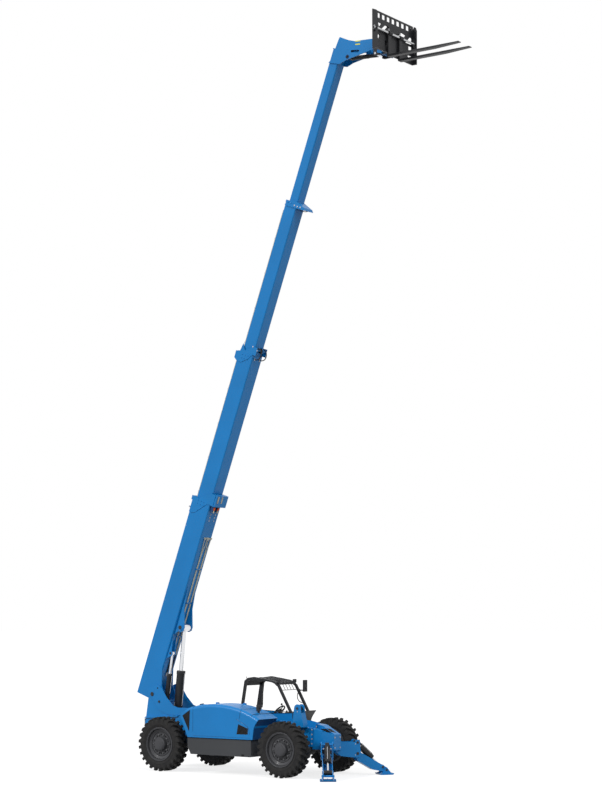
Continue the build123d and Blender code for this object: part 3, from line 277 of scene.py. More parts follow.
finish_of_slot = {
    "blue_paint": blue, "black_paint": black, "grey_paint": rim_grey, "tyre_rubber": tyre_rubber,
    "chrome_rod": rod_chrome, "cast_axle": cast_dark, "dark_plastic": plastic,
    "seat_vinyl": vinyl, "hose_tan": hose_tan, "light_metal": light_metal,
}
for entry in frame["record"]["subparts"]:
    node = frame["nodes"][entry["node"]]
    node.data.materials.clear()
    node.data.materials.append(finish_of_slot[entry["material_slot"]])
frame["nodes"]["service_box"].data.materials[0] = box_grey


# --------------------------------------------------------------- mesh making
BEVEL_FROM = math.radians(40.0)       # corners flatter than this stay sharp
PIN_SIDES = 28
WASHER_SIDES = 12


def unit(vector):
    """The vector at length 1."""
    vector = np.asarray(vector, float)
    return vector / np.linalg.norm(vector)


def basis(axis, toward=UP):
    """Rows of a turned frame: two directions across the axis, the first leaning toward the
    one asked for, then the axis itself."""
    along = unit(axis)
    lean = np.asarray(toward, float)
    if abs(along @ unit(lean)) > 0.99:
        lean = FORWARD
    first = unit(lean - along * (lean @ along))
    return first, np.cross(along, first), along


def turned(profile, origin, axis, sides):
    """Turned form: profile point (r, a) at turn t lies at origin + r (cos t u + sin t v) + a w."""
    radius, along = np.asarray(profile, float).T
    first, second, third = basis(axis)
    turn = 2 * np.pi * np.arange(sides) / sides
    ring = np.cos(turn)[:, None] * first + np.sin(turn)[:, None] * second
    return (np.asarray(origin, float) + radius[:, None, None] * ring
            + (along[:, None] * third)[:, None, :])


def drum(radius, low, high, origin, axis, sides):
    """Plain turned form of one radius, from low to high along its axis."""
    return turned([(radius, low), (radius, high)], origin, axis, sides)


def hoop(radius, up, thick, corners):
    """Profile (r, a) of a ring of round bar: a circle of radius thick round (radius, up)."""
    return [(radius + thick * math.cos(t), up + thick * math.sin(t))
            for t in np.linspace(0, 2 * np.pi, corners + 1)[:-1]]


def band(inner, outer, half_wide):
    """Profile (r, a) of a flat ring seated round a barrel, a little sunk into it."""
    inner -= 0.002
    return [(inner, -half_wide), (outer, -half_wide), (outer, half_wide), (inner, half_wide)]


def swept(path, radius, sides):
    """Tube: round each point p of the path, p + r (cos t u + sin t v), u and v across the path."""
    path = np.asarray(path, float)
    ahead = np.gradient(path, axis=0)
    ahead /= np.linalg.norm(ahead, axis=1)[:, None]
    flat = np.linalg.svd(path - path.mean(axis=0))[2][2]
    first = flat - ahead * (ahead @ flat)[:, None]
    first /= np.linalg.norm(first, axis=1)[:, None]
    second = np.cross(ahead, first)
    turn = 2 * np.pi * np.arange(sides) / sides
    ring = np.cos(turn)[:, None] * first[:, None] + np.sin(turn)[:, None] * second[:, None]
    thick = np.broadcast_to(np.asarray(radius, float), len(path))
    return path[:, None] + thick[:, None, None] * ring


def prism(corners, place, depth):
    """Plate: a flat outline given by place(corners), and the same outline moved by depth."""
    front = place(corners)
    return np.stack([front, front + np.asarray(depth, float)])


def block(low, high):
    """Box between two corners, as two rings of four points."""
    (x0, y0, z0), (x1, y1, z1) = low, high
    ring = np.array([(x0, y0, z0), (x1, y0, z0), (x1, y1, z0), (x0, y1, z0)], float)
    return np.stack([ring, ring + (0, 0, z1 - z0)])


def box_at(x, y, z):
    """Box from its ranges ahead of the front axle, across and up."""
    return block(at(x[0], y[0], z[0]), at(x[1], y[1], z[1]))


def eased(points, count):
    """Smooth path through points: between two of them, in count steps, a cubic whose slope
    at each is half the step between its neighbours."""
    points = np.asarray(points, float)
    ends = np.vstack([2 * points[:1] - points[1:2], points, 2 * points[-1:] - points[-2:-1]])
    before, start, stop, after = ends[:-3], ends[1:-2], ends[2:-1], ends[3:]
    t = np.linspace(0, 1, count, endpoint=False)[:, None, None]
    run = 0.5 * (2 * start + (stop - before) * t + (2 * before - 5 * start + 4 * stop - after) * t ** 2
                 + (3 * start - before - 3 * stop + after) * t ** 3)
    return np.vstack([run.transpose(1, 0, 2).reshape(-1, 3), points[-1:]])


def from_axle(points):
    """Moves points given from the front axle into the frame."""
    return np.asarray(points, float) + FRONT_AXLE * FORWARD


def at_side(y):
    """Turns side-view points (x ahead of the front axle, z) into places at this y."""
    def place(points):
        x, z = np.asarray(points, float).T
        return np.stack([FRONT_AXLE + x, np.full(len(x), y), z], 1)
    return place


class Piece:
    """One new object: closed surfaces, each in its finish, gathered into a single mesh."""

    def __init__(self, name, body, slot, finish=None):
        self.name, self.body, self.slot = name, body, slot
        self.finishes = [finish or finish_of_slot[slot]]
        self.points, self.faces, self.kinds, self.count = [], [], [], 0

    def add(self, rings, finish=None, closed=False):
        """Quads between neighbouring rings; the end rings are capped, or joined when closed."""
        rows, columns = rings.shape[:2]
        row, column = np.meshgrid(np.arange(rows if closed else rows - 1), np.arange(columns),
                                  indexing="ij")
        below, beside = (row + 1) % rows, (column + 1) % columns
        quads = np.stack([row * columns + column, row * columns + beside,
                          below * columns + beside, below * columns + column], -1)
        faces = (quads.reshape(-1, 4) + self.count).tolist()
        if not closed:
            ring = np.arange(columns) + self.count
            faces += [ring[::-1].tolist(), (ring + (rows - 1) * columns).tolist()]
        if finish is None:
            finish = self.finishes[0]
        if finish not in self.finishes:
            self.finishes.append(finish)
        self.points.append(rings.reshape(-1, 3))
        self.faces += faces
        self.kinds += [self.finishes.index(finish)] * len(faces)
        self.count += rows * columns
        return self

    def bolts(self, places, axis, radius, finish=None):
        """Hexagon heads on round washers, up the bolt's axis from each place."""
        for place in places:
            self.add(drum(1.55 * radius, -0.002, 0.22 * radius, place, axis, WASHER_SIDES), finish)
            self.add(turned([(radius, 0.1 * radius), (radius, 0.8 * radius),
                             (0.82 * radius, 0.95 * radius)], place, axis, 6), finish)

    def pin(self, place, axis, radius, proud, finish=None):
        """Pin end that stands proud: a turned cap with a worn edge and a dimple in its middle."""
        self.add(turned([(radius, -0.004), (radius, 0.7 * proud), (0.9 * radius, proud),
                         (0.3 * radius, proud), (0.24 * radius, 0.75 * proud)], place, axis,
                        PIN_SIDES), finish)

    def done(self, smooth=32.0, bevel=0.0):
        """Makes the object, turns its faces outward, and lets it ride on its body."""
        mesh = bpy.data.meshes.new(self.name)
        mesh.from_pydata(np.vstack(self.points).tolist(), [], self.faces)
        mesh.polygons.foreach_set("material_index", self.kinds)
        form = bmesh.new()
        form.from_mesh(mesh)
        bmesh.ops.recalc_face_normals(form, faces=form.faces)
        form.to_mesh(mesh)
        form.free()
        mesh.shade_smooth()
        mesh.set_sharp_from_angle(angle=math.radians(smooth))
        for finish in self.finishes:
            mesh.materials.append(finish)
        made = bpy.data.objects.new(self.name, mesh)
        scene.collection.objects.link(made)
        if bevel:
            edge = made.modifiers.new("edge", "BEVEL")
            edge.width, edge.segments, edge.limit_method = bevel, 2, "ANGLE"
            edge.angle_limit = BEVEL_FROM
        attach(made, self.body)
        return made


# -------------------------------------------------------------------- wheels
AXLE_Z = 0.66
TRACK_HALF = 1.055            # from the machine's middle to a tyre's middle
WHEELS = [("front_right", 0.0, -1), ("front_left", 0.0, 1),
          ("rear_right", -3.65, -1), ("rear_left", -3.65, 1)]
LUGS = 26
# profiles: distance from the tyre's middle and radius, from the tread's middle to the bead
GROOVE = [(0.0, 0.612), (0.006, 0.612), (0.012, 0.612), (0.06, 0.612), (0.12, 0.61),
          (0.15, 0.606), (0.165, 0.596), (0.172, 0.578), (0.176, 0.556), (0.179, 0.535),
          (0.18, 0.505), (0.1795, 0.492), (0.183, 0.488), (0.183, 0.478), (0.179, 0.474),
          (0.173, 0.45), (0.164, 0.43), (0.158, 0.418), (0.153, 0.402), (0.1465, 0.394)]
LUG = [(0.0, 0.612), (0.006, 0.612), (0.013, 0.654), (0.06, 0.6592), (0.12, 0.66),
       (0.158, 0.6585), (0.178, 0.65), (0.1845, 0.628), (0.1848, 0.59), (0.182, 0.55)] + GROOVE[10:]
# stations round one pitch, in pitches from the lug's middle; the lug is up within its edge
LUG_STATIONS = (-0.27, -0.2, -0.07, 0.07, 0.2, 0.27, 0.423, 0.577)
LUG_EDGE = 0.25
LUG_LEAN = 0.42               # pitches that a lug runs ahead over its shoulder's width
SHOULDER = 0.17               # from here out a lug's edge leans no further
LEAN_MIDDLE = 0.09            # where its lean is nought
HUB_FACE = 0.08               # from the tyre's middle out to the face that the nuts sit on
NUTS = 10
NUT_CIRCLE = 0.226
NUT_HALF_STEP = 0.314         # angle from a nut to the painted shade beside it
# radius, distance out from the tyre's middle, finish
# the two rings in shadow_black are painted shade at the rim's steps; the last is in the rim's own grey
RIM_RINGS = ((0.2905, 0.083, shadow_black), (0.3665, 0.1165, shadow_black), (0.404, 0.1665, rim_grey))


def tyre(name, x, side):
    """Tyre: a closed profile carried round the axle. At each station round a pitch the
    profile is the groove's or the lug's; the stations lean with |y|, and those of one half
    lie half a pitch on from the other's."""
    groove, lug = (np.vstack([half[:0:-1] * (-1.0, 1.0), half])
                   for half in (np.array(GROOVE), np.array(LUG)))
    station = np.array(LUG_STATIONS)
    raised = (np.abs(station) < LUG_EDGE).astype(float)
    share = (np.arange(LUGS)[:, None] + station).reshape(1, -1)
    weight = np.tile(raised, LUGS)[None, :, None]
    profile = groove[:, None] * (1 - weight) + lug[:, None] * weight
    across = groove[:, :1]
    lean = LUG_LEAN * (np.minimum(np.abs(across), SHOULDER) - LEAN_MIDDLE) / SHOULDER
    shift = np.where(across < 0, 0.5, 0.0) + np.where(np.abs(across) < 0.001, 0.25, 0.0)
    turn = 2 * np.pi * (share + shift + lean) / LUGS
    y, radius = profile[..., 0], profile[..., 1]
    rings = np.stack([FRONT_AXLE + x + radius * np.sin(turn),
                      side * (TRACK_HALF + y) + 0 * turn, AXLE_Z - radius * np.cos(turn)], -1)
    made = Piece(f"tread_{name}", f"wheel_{name}", "tyre_rubber").add(rings, closed=True).done(28.0)
    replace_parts(made, f"tyre_{name}")


def wheel_fittings(name, x, side):
    """Nuts round the hub, painted shade between them, the rim's rings, hub cap and valve."""
    out = np.array((0.0, side, 0.0))
    centre = at(x, side * TRACK_HALF, AXLE_Z)
    face = centre + HUB_FACE * out

    def round_hub(start):
        """Places of the nuts' circle, from the angle start."""
        turn = 2 * np.pi * np.arange(NUTS) / NUTS + start
        return face + NUT_CIRCLE * np.stack([np.cos(turn), 0 * turn, np.sin(turn)], 1)

    piece = Piece(f"wheel_nuts_{name}", f"wheel_{name}", "grey_paint", nut_grey)
    for place in round_hub(0.0):
        piece.add(turned([(0.03, -0.002), (0.03, 0.005), (0.026, 0.009)], place, out, 16), rim_grey)
        piece.add(turned([(0.019, 0.008), (0.019, 0.026), (0.015, 0.03)], place, out, 6))
        piece.add(turned([(0.011, 0.028), (0.011, 0.041), (0.008, 0.044)], place, out, 10))
    # dark discs between the nuts: painted shade
    for place in round_hub(NUT_HALF_STEP):
        piece.add(drum(0.021, -0.004, 0.0012, place, out, 14), shadow_black)
    for radius, up, finish in RIM_RINGS:
        piece.add(turned(hoop(radius, up, 0.0055, 8), centre, out, 96), finish, closed=True)
    piece.add(turned([(0.118, 0.188), (0.118, 0.194), (0.108, 0.197), (0.05, 0.199)],
                     centre, out, 48), rim_grey)
    piece.add(turned([(0.006, 0.0), (0.006, 0.03), (0.004, 0.034)],
                     face + (0.31, 0.01 * side, 0.0), out, 8), shadow_black)
    piece.done(smooth=35.0)


for name, x, side in WHEELS:
    tyre(name, x, side)
    wheel_fittings(name, x, side)


# ---------------------------------------------------------------------- hood
HOOD_SIDE = -1.2
HOOD_ROUND = 0.085            # radius of the long edge between side and top
CROWN_REAR = [(-2.738, 1.58), (-2.009, 1.672), (-1.28, 1.592)]
CROWN_TOE = (-0.64, 1.345)
GRILLES = {"rear": [(-2.712, 1.52), (-2.945, 1.376), (-2.733, 0.99)],
           "front": [(-1.24, 1.22), (-0.95, 1.122), (-0.957, 0.982), (-1.292, 0.978)]}
GRILLE_BACK = -1.1882
GRILLE_WIRES = -1.1945
GRILLE_RIM = -1.2006
WIRE_STEP = 0.016
WIRE_HALF = 0.0032
FILLER_X, FILLER_Y = -2.59, -0.88
ARCH_WIDE = 0.755
SHADE_SHEET_THICK = 0.004
ARCH = [(-0.64, 1.345), (-0.7, 1.287), (-0.76, 1.201), (-0.797, 1.116), (-0.829, 0.866)]


def crown_arcs():
    """Centres and radii of the hood top's two arcs: through three points, then on at a tangent."""
    (ax, az), (bx, bz), (cx, cz) = CROWN_REAR
    lines = np.array([(bx - ax, bz - az), (cx - bx, cz - bz)])
    sums = [(bx * bx - ax * ax + bz * bz - az * az) / 2, (cx * cx - bx * bx + cz * cz - bz * bz) / 2]
    first = np.linalg.solve(lines, sums)
    end, toe = np.array(CROWN_REAR[2]), np.array(CROWN_TOE)
    inward = unit(first - end)
    radius = (toe - end) @ (toe - end) / (2 * inward @ (toe - end))
    return (first, np.linalg.norm(first - end)), (end + radius * inward, radius)


def crown_z(x):
    """Height of the hood's top at x ahead of the front axle: up its arc from the centre."""
    (first, far), (second, near) = crown_arcs()
    centre, radius = (first, far) if x < CROWN_REAR[2][0] else (second, near)
    return float(centre[1] + np.sqrt(radius ** 2 - np.minimum(np.abs(x - centre[0]), radius) ** 2))


def over_hood(x, low, inner=-0.44):
    """Path over the hood at x: up its side from low, round its long edge, across its top."""
    top = crown_z(x)
    turn = np.linspace(0, np.pi / 2, 7)
    edge = np.stack([np.full(7, x), HOOD_SIDE + HOOD_ROUND * (1 - np.cos(turn)),
                     top - HOOD_ROUND * (1 - np.sin(turn))], 1)
    return from_axle(np.vstack([[(x, HOOD_SIDE, low)], edge, [(x, inner, top)]]))


def span_across(corners, level, held):
    """Least and greatest place where a line meets an outline; along the line the coordinate
    held (0 or 1) keeps its level."""
    start, stop = corners, np.roll(corners, -1, axis=0)
    free = 1 - held
    rise = stop[:, held] - start[:, held]
    share = (level - start[:, held]) / np.where(rise == 0, 1e-9, rise)
    met = (share >= 0) & (share <= 1)
    places = start[met, free] + share[met] * (stop[met, free] - start[met, free])
    return places.min(), places.max()


def grille(name, corners):
    """Wire mesh in the hood's recess: level and upright wires, each cut to the outline."""
    piece = Piece(f"grille_{name}", "hood_lid", "dark_plastic")
    # dark sheet behind the wires: painted shade in the recess
    piece.add(prism(corners, at_side(GRILLE_BACK), (0, -0.0015, 0)), shadow_black)
    flat = np.array(corners)
    first, last = flat.min(axis=0) + 0.01, flat.max(axis=0) - 0.006
    y0, y1 = GRILLE_WIRES - WIRE_HALF, GRILLE_WIRES + WIRE_HALF
    for z in np.arange(first[1], last[1], WIRE_STEP):
        low, high = span_across(flat, z, 1)
        piece.add(box_at((low, high), (y0, y1), (z - WIRE_HALF, z + WIRE_HALF)))
    for x in np.arange(first[0], last[0], WIRE_STEP):
        low, high = span_across(flat, x, 0)
        x += FRONT_AXLE
        piece.add(block((x - WIRE_HALF, y0, low), (x + WIRE_HALF, y1, high)))
    middle = flat.mean(axis=0)
    outer = np.vstack([flat, flat[:1]])
    inner = middle + (outer - middle) * 0.965
    for i in range(len(flat)):
        strip = [outer[i], outer[i + 1], inner[i + 1], inner[i]]
        piece.add(prism(strip, at_side(GRILLE_RIM), (0, 0.0125, 0)))
    piece.done(smooth=20.0)


def hood_trim():
    """Hood's seams and its pressed folds in painted shade, its filler cap, the wheel arch's lip and
    the sheet of painted shade inside it, and the seal at its front."""
    on_side = at_side(HOOD_SIDE)
    seam = Piece("hood_seams", "hood_lid", "dark_plastic", shadow_black)
    front = over_hood(-1.185, 1.343)
    front[0, 0] -= 0.03       # its foot meets the fold further back
    seam.add(swept(front, 0.0035, 8))
    seam.add(swept(over_hood(-2.62, 1.0), 0.003, 8))
    # the pressed folds and the line below them are drawn in the darker blue: painted shade in the creases
    fold = on_side([(-1.307, 1.34), (-1.002, 1.193), (-0.926, 1.1), (-0.91, 0.98)])
    seam.add(swept(eased(fold, 6), 0.0045, 8), blue_painted_shade)
    seam.add(swept(on_side([(-2.62, 0.905), (-0.9, 0.905)]), 0.003, 8), blue_painted_shade)
    seam.done()

    cap = Piece("filler_cap", "hood_lid", "dark_plastic")
    middle = at(FILLER_X, FILLER_Y, crown_z(FILLER_X) - 0.006)
    tilt = (-0.19, 0.0, 1.0)
    cap.add(turned([(0.115, 0.0), (0.115, 0.012), (0.108, 0.02), (0.06, 0.027)], middle, tilt, 40), blue)
    cap.add(turned([(0.052, 0.02), (0.052, 0.044), (0.047, 0.05), (0.02, 0.051)], middle, tilt, 24))
    cap.done()

    arch = at_side(0.0)(ARCH)
    lip = Piece("arch_lip", "hood_lid", "blue_paint")
    lip.add(swept(eased(arch + (0, -1.19, 0), 5), 0.011, 12))
    lip.done()
    # dark blue sheet inside the wheel arch: painted shade on the arch's inner side
    arch_shade = Piece("arch_painted_shade", "hood_lid", "blue_paint", blue_painted_shade)
    curve = eased(arch + (0.0035, -1.183, 0), 5)
    sheet = np.stack([curve, curve + (0, ARCH_WIDE, 0), curve + (-SHADE_SHEET_THICK, ARCH_WIDE, 0),
                      curve + (-SHADE_SHEET_THICK, 0, 0)])
    arch_shade.add(sheet.transpose(1, 0, 2))
    arch_shade.done()
    seal = Piece("hood_front_seal", "hood_lid", "dark_plastic", shadow_black)
    seal.add(swept(over_hood(-0.86, 1.4, -0.43)[3:], 0.006, 8))
    seal.done()


for name, corners in GRILLES.items():
    grille(name, corners)
hood_trim()


# --------------------------------------------------------------- frame, tower
def tower_pins():
    """Pin ends on the tower's sides, painted shade of a hole over them, and the sway ram's locked pin."""
    pins = Piece("tower_pins", "chassis", "cast_axle")
    for side in (-1, 1):
        out = side * LEFT
        # boom's pivot, lift ram's foot, level ram's foot
        for x, z, radius in ((-4.55, 1.83, 0.05), (-4.067, 1.2, 0.044), (-4.321, 1.648, 0.03)):
            pins.pin(at(x, side * 0.417, z), out, radius, 0.012)
        # dark disc: painted shade of the hole in the tower's side
        pins.pin(at(-4.373, side * 0.4121, 1.983), out, 0.02, 0.002, shadow_black)
    pins.pin(at(0.05, -0.591, 1.605), RIGHT, 0.03, 0.007)
    pins.bolts([at(0.05, -0.581, 1.525)], RIGHT, 0.009, zinc)
    pins.done()


def frame_trim():
    """Tower's cover strips and braces, its rear plate and pale marker, and dark sheets of painted
    shade where the nose's slope and side have openings."""
    trim = Piece("frame_trim", "chassis", "blue_paint")
    for side in (-1, 1):
        strip = [(-4.79, 1.225), (-3.71, 1.29), (-3.71, 1.325), (-4.752, 1.262)]
        trim.add(prism(strip, at_side(side * 0.4), (0, side * 0.035, 0)))
        brace = [(-4.6, 0.7), (-4.57, 0.7), (-4.52, 1.2), (-4.55, 1.2)]
        trim.add(prism(brace, at_side(side * 0.4), (0, side * 0.02, 0)))
    trim.add(box_at((-4.812, -4.798), (-0.36, 0.36), (0.7, 1.1)))
    marker = [(-4.803, 1.05), (-4.79, 1.05), (-4.79, 1.215), (-4.803, 1.215)]
    trim.add(prism(marker, at_side(-0.402), (0, 0.05, 0)), lamp_clear)
    # dark sheets on the nose: painted shade of the recesses in its slope and side
    nose_top_shade = np.array([(0.575, -0.112), (0.592, 0.02), (0.755, 0.045), (0.705, -0.112)])
    on_slope = 1.2015 - 0.578 * (nose_top_shade[:, 0] - 0.45)
    top = from_axle(np.column_stack([nose_top_shade, on_slope]))
    trim.add(np.stack([top, top - (0, 0, 0.003)]), shadow_black)
    nose_side_shade = [(0.385, 1.112), (0.57, 1.12), (0.735, 1.032), (0.6, 1.038)]
    trim.add(prism(nose_side_shade, at_side(-0.12), (0, -0.0012, 0)), shadow_black)
    trim.done(bevel=0.001)


def rear_lamps():
    """Round lamps in their housings, and the two couplings between them."""
    lamps = Piece("rear_lamps", "chassis", "dark_plastic")
    for side in (-1, 1):
        for z, finish in ((1.03, lamp_red), (0.94, lamp_clear)):
            place = at(-4.79, side * 0.33, z)
            lamps.add(turned([(0.052, 0.0), (0.052, 0.028), (0.047, 0.032)], place, REARWARD, 28))
            lamps.add(turned([(0.044, 0.03), (0.043, 0.037), (0.032, 0.043), (0.012, 0.046)],
                             place, REARWARD, 28), finish)
    for z in (0.78, 0.86):
        lamps.add(turned([(0.03, 0.0), (0.03, 0.024), (0.024, 0.028)],
                         at(-4.8, 0.0, z), REARWARD, 20), zinc)
    lamps.done()


def tower_hoses():
    """Two hoses that rise inside the tower, with a ferrule at each end."""
    hoses = Piece("tower_hoses", "chassis", "dark_plastic", hose_black)
    for run in ([(-4.1, 0.2, 0.96), (-4.12, 0.2, 1.12), (-4.2, 0.21, 1.3), (-4.3, 0.24, 1.46)],
                [(-4.06, 0.245, 0.96), (-4.08, 0.245, 1.12), (-4.16, 0.255, 1.3), (-4.26, 0.285, 1.46)]):
        path = from_axle(eased(run, 9))
        hoses.add(swept(path, 0.014, 12))
        for end in (path[:3], path[-3:]):
            hoses.add(swept(end, 0.0185, 6), zinc)
    hoses.done(smooth=50.0)


def flange_bolts():
    """Bolts of the front frame's flange and of the nose."""
    flange = Piece("flange_bolts", "chassis", "cast_axle", zinc)
    rows = ((0.356, 1.1), (0.356, 0.99), (0.356, 0.88), (0.356, 0.77), (0.17, 1.165))
    flange.bolts([at(0.316, side * y, z) for side in (-1, 1) for y, z in rows], FORWARD, 0.015)
    flange.bolts([at(0.811, y, z) for y in (-0.11, 0.11) for z in (0.68, 0.92)], FORWARD, 0.013)
    flange.done()


def service_box_trim():
    """Dark seam under the service box's lid, and its latch."""
    box = Piece("service_box_trim", "chassis", "dark_plastic", shadow_black)
    box.add(box_at((-2.79, -0.89), (-1.1768, -1.17), (0.842, 0.85)))
    box.add(box_at((-1.16, -1.08), (-1.178, -1.172), (0.452, 0.51)))
    box.done(bevel=0.003)


tower_pins()
frame_trim()
rear_lamps()
tower_hoses()
flange_bolts()
service_box_trim()


# ----------------------------------------------------------------------- cab
CAB_NEAR, CAB_FAR = 0.42, 1.215
SWELL_LIMIT = 0.012           # furthest that the cloth moves a point of a cushion
SWELL_GRID = 0.0065
SWELL_PRESSURE = 4.0
SWELL_STEPS = 20
CHANNELS = (-0.13, -0.045, 0.045, 0.13)       # sewn lines, from the cushion's middle
CHANNEL_WIDTH = 0.007
CHANNEL_DEPTH = 0.045         # share of the way to the middle


def crowned(low, high, lean, bulge):
    """Cushion blank: a rounded box whose squareness is a power, sheared along x by lean
    times height, and thicker in its middle by bulge."""
    rows, columns, power = 26, 44, 5.0
    up = np.linspace(-np.pi / 2, np.pi / 2, rows + 2)[1:-1, None]
    turn = 2 * np.pi * np.arange(columns)[None] / columns

    def squared(value):
        return np.sign(value) * np.abs(value) ** (2 / power)

    x, y = squared(np.cos(up)) * squared(np.cos(turn)), squared(np.cos(up)) * squared(np.sin(turn))
    z = squared(np.sin(up)) + 0 * turn
    middle, half = np.add(low, high) / 2, np.subtract(high, low) / 2
    z = z * (1 + bulge * (1 - x ** 2) * (1 - y ** 2))
    rings = middle + np.stack([x, y, z], -1) * half
    rings[..., 0] += lean * (rings[..., 2] - middle[2])
    return rings


def points_of(mesh):
    """The mesh's points as rows of x, y, z."""
    flat = np.empty(len(mesh.vertices) * 3)
    mesh.vertices.foreach_get("co", flat)
    return flat.reshape(-1, 3)


def swell(made):
    """Remeshes a form evenly and swells it as cloth under pressure, up to the limit."""
    bpy.context.view_layer.objects.active = made
    made.select_set(True)
    remesh = made.modifiers.new("even", "REMESH")
    remesh.mode, remesh.voxel_size = "VOXEL", SWELL_GRID
    bpy.ops.object.modifier_apply(modifier="even")
    before = points_of(made.data)
    cloth = made.modifiers.new("swell", "CLOTH")
    cloth.settings.use_pressure = True
    cloth.settings.uniform_pressure_force = SWELL_PRESSURE
    cloth.settings.effector_weights.gravity = 0.0
    cloth.point_cache.frame_start, cloth.point_cache.frame_end = 1, SWELL_STEPS
    for step in range(1, SWELL_STEPS + 1):
        scene.frame_set(step)
    after = points_of(made.evaluated_get(bpy.context.evaluated_depsgraph_get()).to_mesh())
    made.modifiers.clear()
    scene.frame_set(1)
    move = after - before
    far = np.linalg.norm(move, axis=1)[:, None]
    place = before + move * np.minimum(1, SWELL_LIMIT / np.maximum(far, 1e-9))
    made.data.vertices.foreach_set("co", place.ravel())
    made.select_set(False)


def cushion(name, rings):
    """Padded form: its blank, swollen for a full render, then sewn channels pressed in."""
    made = Piece(name, "chassis", "seat_vinyl").add(rings).done(smooth=180.0)
    swell(made)
    place = points_of(made.data)
    middle = place.mean(axis=0)
    pressed = np.zeros(len(place))
    for y in CHANNELS:
        pressed += np.exp(-(((place[:, 1] - middle[1] - y) / CHANNEL_WIDTH) ** 2))
    place += (middle - place) * (CHANNEL_DEPTH * pressed)[:, None]
    made.data.vertices.foreach_set("co", place.ravel())
    made.data.update()
    made.data.shade_smooth()
    finer = made.modifiers.new("finer", "SUBSURF")
    finer.levels = finer.render_levels = 1
    return made


def seat():
    """Driver's seat: two padded cushions on a bellows base with arm rests."""
    base = cushion("seat_cushion", crowned(at(-2.1, 0.57, 1.06), at(-1.66, 1.01, 1.16), 0, 0.1))
    back = cushion("seat_back", crowned(at(-2.16, 0.58, 1.15), at(-2.07, 1.0, 1.49), -0.12, 0.0))
    stand = Piece("seat_stand", "chassis", "dark_plastic")
    middle = at(-1.9, 0.79, 0.0)
    square = np.array([(-0.16, -0.18), (0.16, -0.18), (0.16, 0.18), (-0.16, 0.18)])
    folds = [(1.0 + 0.09 * math.cos(math.pi * i), z) for i, z in enumerate(np.linspace(0.795, 1.02, 13))]
    stand.add(np.stack([middle + np.column_stack([square * grow, np.full(4, z)]) for grow, z in folds]))
    stand.add(box_at((-2.09, -1.68), (0.6, 0.98), (1.02, 1.058)), black)
    stand.add(box_at((-2.2, -2.165), (0.62, 0.96), (1.1, 1.42)), black)
    for y in (0.555, 1.0):
        arm = from_axle([(-2.17, y, 1.27), (-2.05, y, 1.3), (-1.85, y, 1.3), (-1.78, y, 1.285)])
        stand.add(swept(eased(arm, 6), 0.024, 14))
    for made in (base, back, stand.done(bevel=0.004)):
        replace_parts(made, "seat")


def steering_wheel():
    """Steering wheel: its grip, three spokes, the hub and the spinner knob."""
    centre, axis = at(-1.433, 0.76, 1.463), unit((-0.7, 0.0, 0.714))
    across = basis(axis, LEFT)[0]
    other = np.cross(axis, across)
    grip_radius, grip_thick = 0.152, 0.0185
    wheel = Piece("steering_wheel", "chassis", "dark_plastic")
    wheel.add(turned(hoop(grip_radius, 0.0, grip_thick, 12), centre, axis, 72), closed=True)
    wheel.add(turned([(0.052, -0.03), (0.052, 0.012), (0.044, 0.021), (0.02, 0.024)], centre, axis, 32))
    knob = centre + 0.15 * other * np.sign(other[2]) + 0.016 * axis
    wheel.add(turned([(0.009, 0), (0.009, 0.02), (0.021, 0.03), (0.026, 0.046), (0.022, 0.064),
                      (0.01, 0.072)], knob, axis, 20))
    for turn in (0.6, 2.5, 4.7):
        arm = across * math.cos(turn) + other * math.sin(turn)
        wheel.add(swept([centre + 0.04 * arm - 0.012 * axis, centre + 0.1 * arm - 0.006 * axis,
                         centre + 0.15 * arm], (0.013, 0.011, 0.012), 10))
    wheel.done(smooth=50.0)


def levers():
    """Levers with their knobs, the console, the dials' hood and the pedals."""
    hand = Piece("levers", "chassis", "dark_plastic")
    for low, high in (((-1.7, 0.5, 1.19), (-1.66, 0.49, 1.375)), ((-1.78, 0.5, 1.19), (-1.79, 0.49, 1.35)),
                      ((-1.27, 0.68, 1.34), (-1.33, 0.6, 1.43)), ((-1.27, 0.84, 1.34), (-1.33, 0.92, 1.43))):
        foot, head = at(*low), at(*high)
        hand.add(swept([foot, (foot + head) / 2, head], 0.007, 10), black)
        hand.add(turned([(0.012, -0.03), (0.021, 0.0), (0.023, 0.018), (0.014, 0.034)],
                        head, head - foot, 18))
    hand.add(box_at((-1.86, -1.62), (0.455, 0.535), (0.8, 1.2)))
    hand.add(box_at((-1.19, -1.05), (0.66, 0.86), (1.392, 1.43)))
    for y in (0.665, 0.8):
        hand.add(box_at((-1.2, -1.1), (y - 0.035, y + 0.035), (0.83, 0.842)), shadow_black)
    hand.done(bevel=0.006)


def grab_rails():
    """Grab loop on the door and the upright rail behind it."""
    rails = Piece("grab_loop", "chassis", "black_paint")
    loop = from_axle([(-1.083, 1.222, 1.959), (-1.16, 1.24, 1.93), (-1.225, 1.245, 1.86),
                      (-1.236, 1.245, 1.78), (-1.2, 1.24, 1.7), (-1.13, 1.235, 1.655),
                      (-1.06, 1.222, 1.652)])
    rails.add(swept(eased(loop, 8), 0.0105, 12))
    rail = from_axle([(-2.33, 1.222, 1.5), (-2.33, 1.262, 1.53), (-2.315, 1.262, 1.85),
                      (-2.315, 1.222, 1.88)])
    rails.add(swept(eased(rail, 6), 0.0115, 12))
    rails.done()


def mirror_glass(name, body, centre, half, depth):
    """Silvered glass on a mirror's rear face: a thin rectangle, depth behind the centre."""
    glass = Piece(name, body, "dark_plastic", mirror_silver)
    corners = np.array([(-1, -1), (1, -1), (1, 1), (-1, 1)]) * half
    flat = centre + np.column_stack([np.full(4, -depth), corners])
    glass.add(np.stack([flat, flat - (0.0014, 0, 0)]))
    return glass


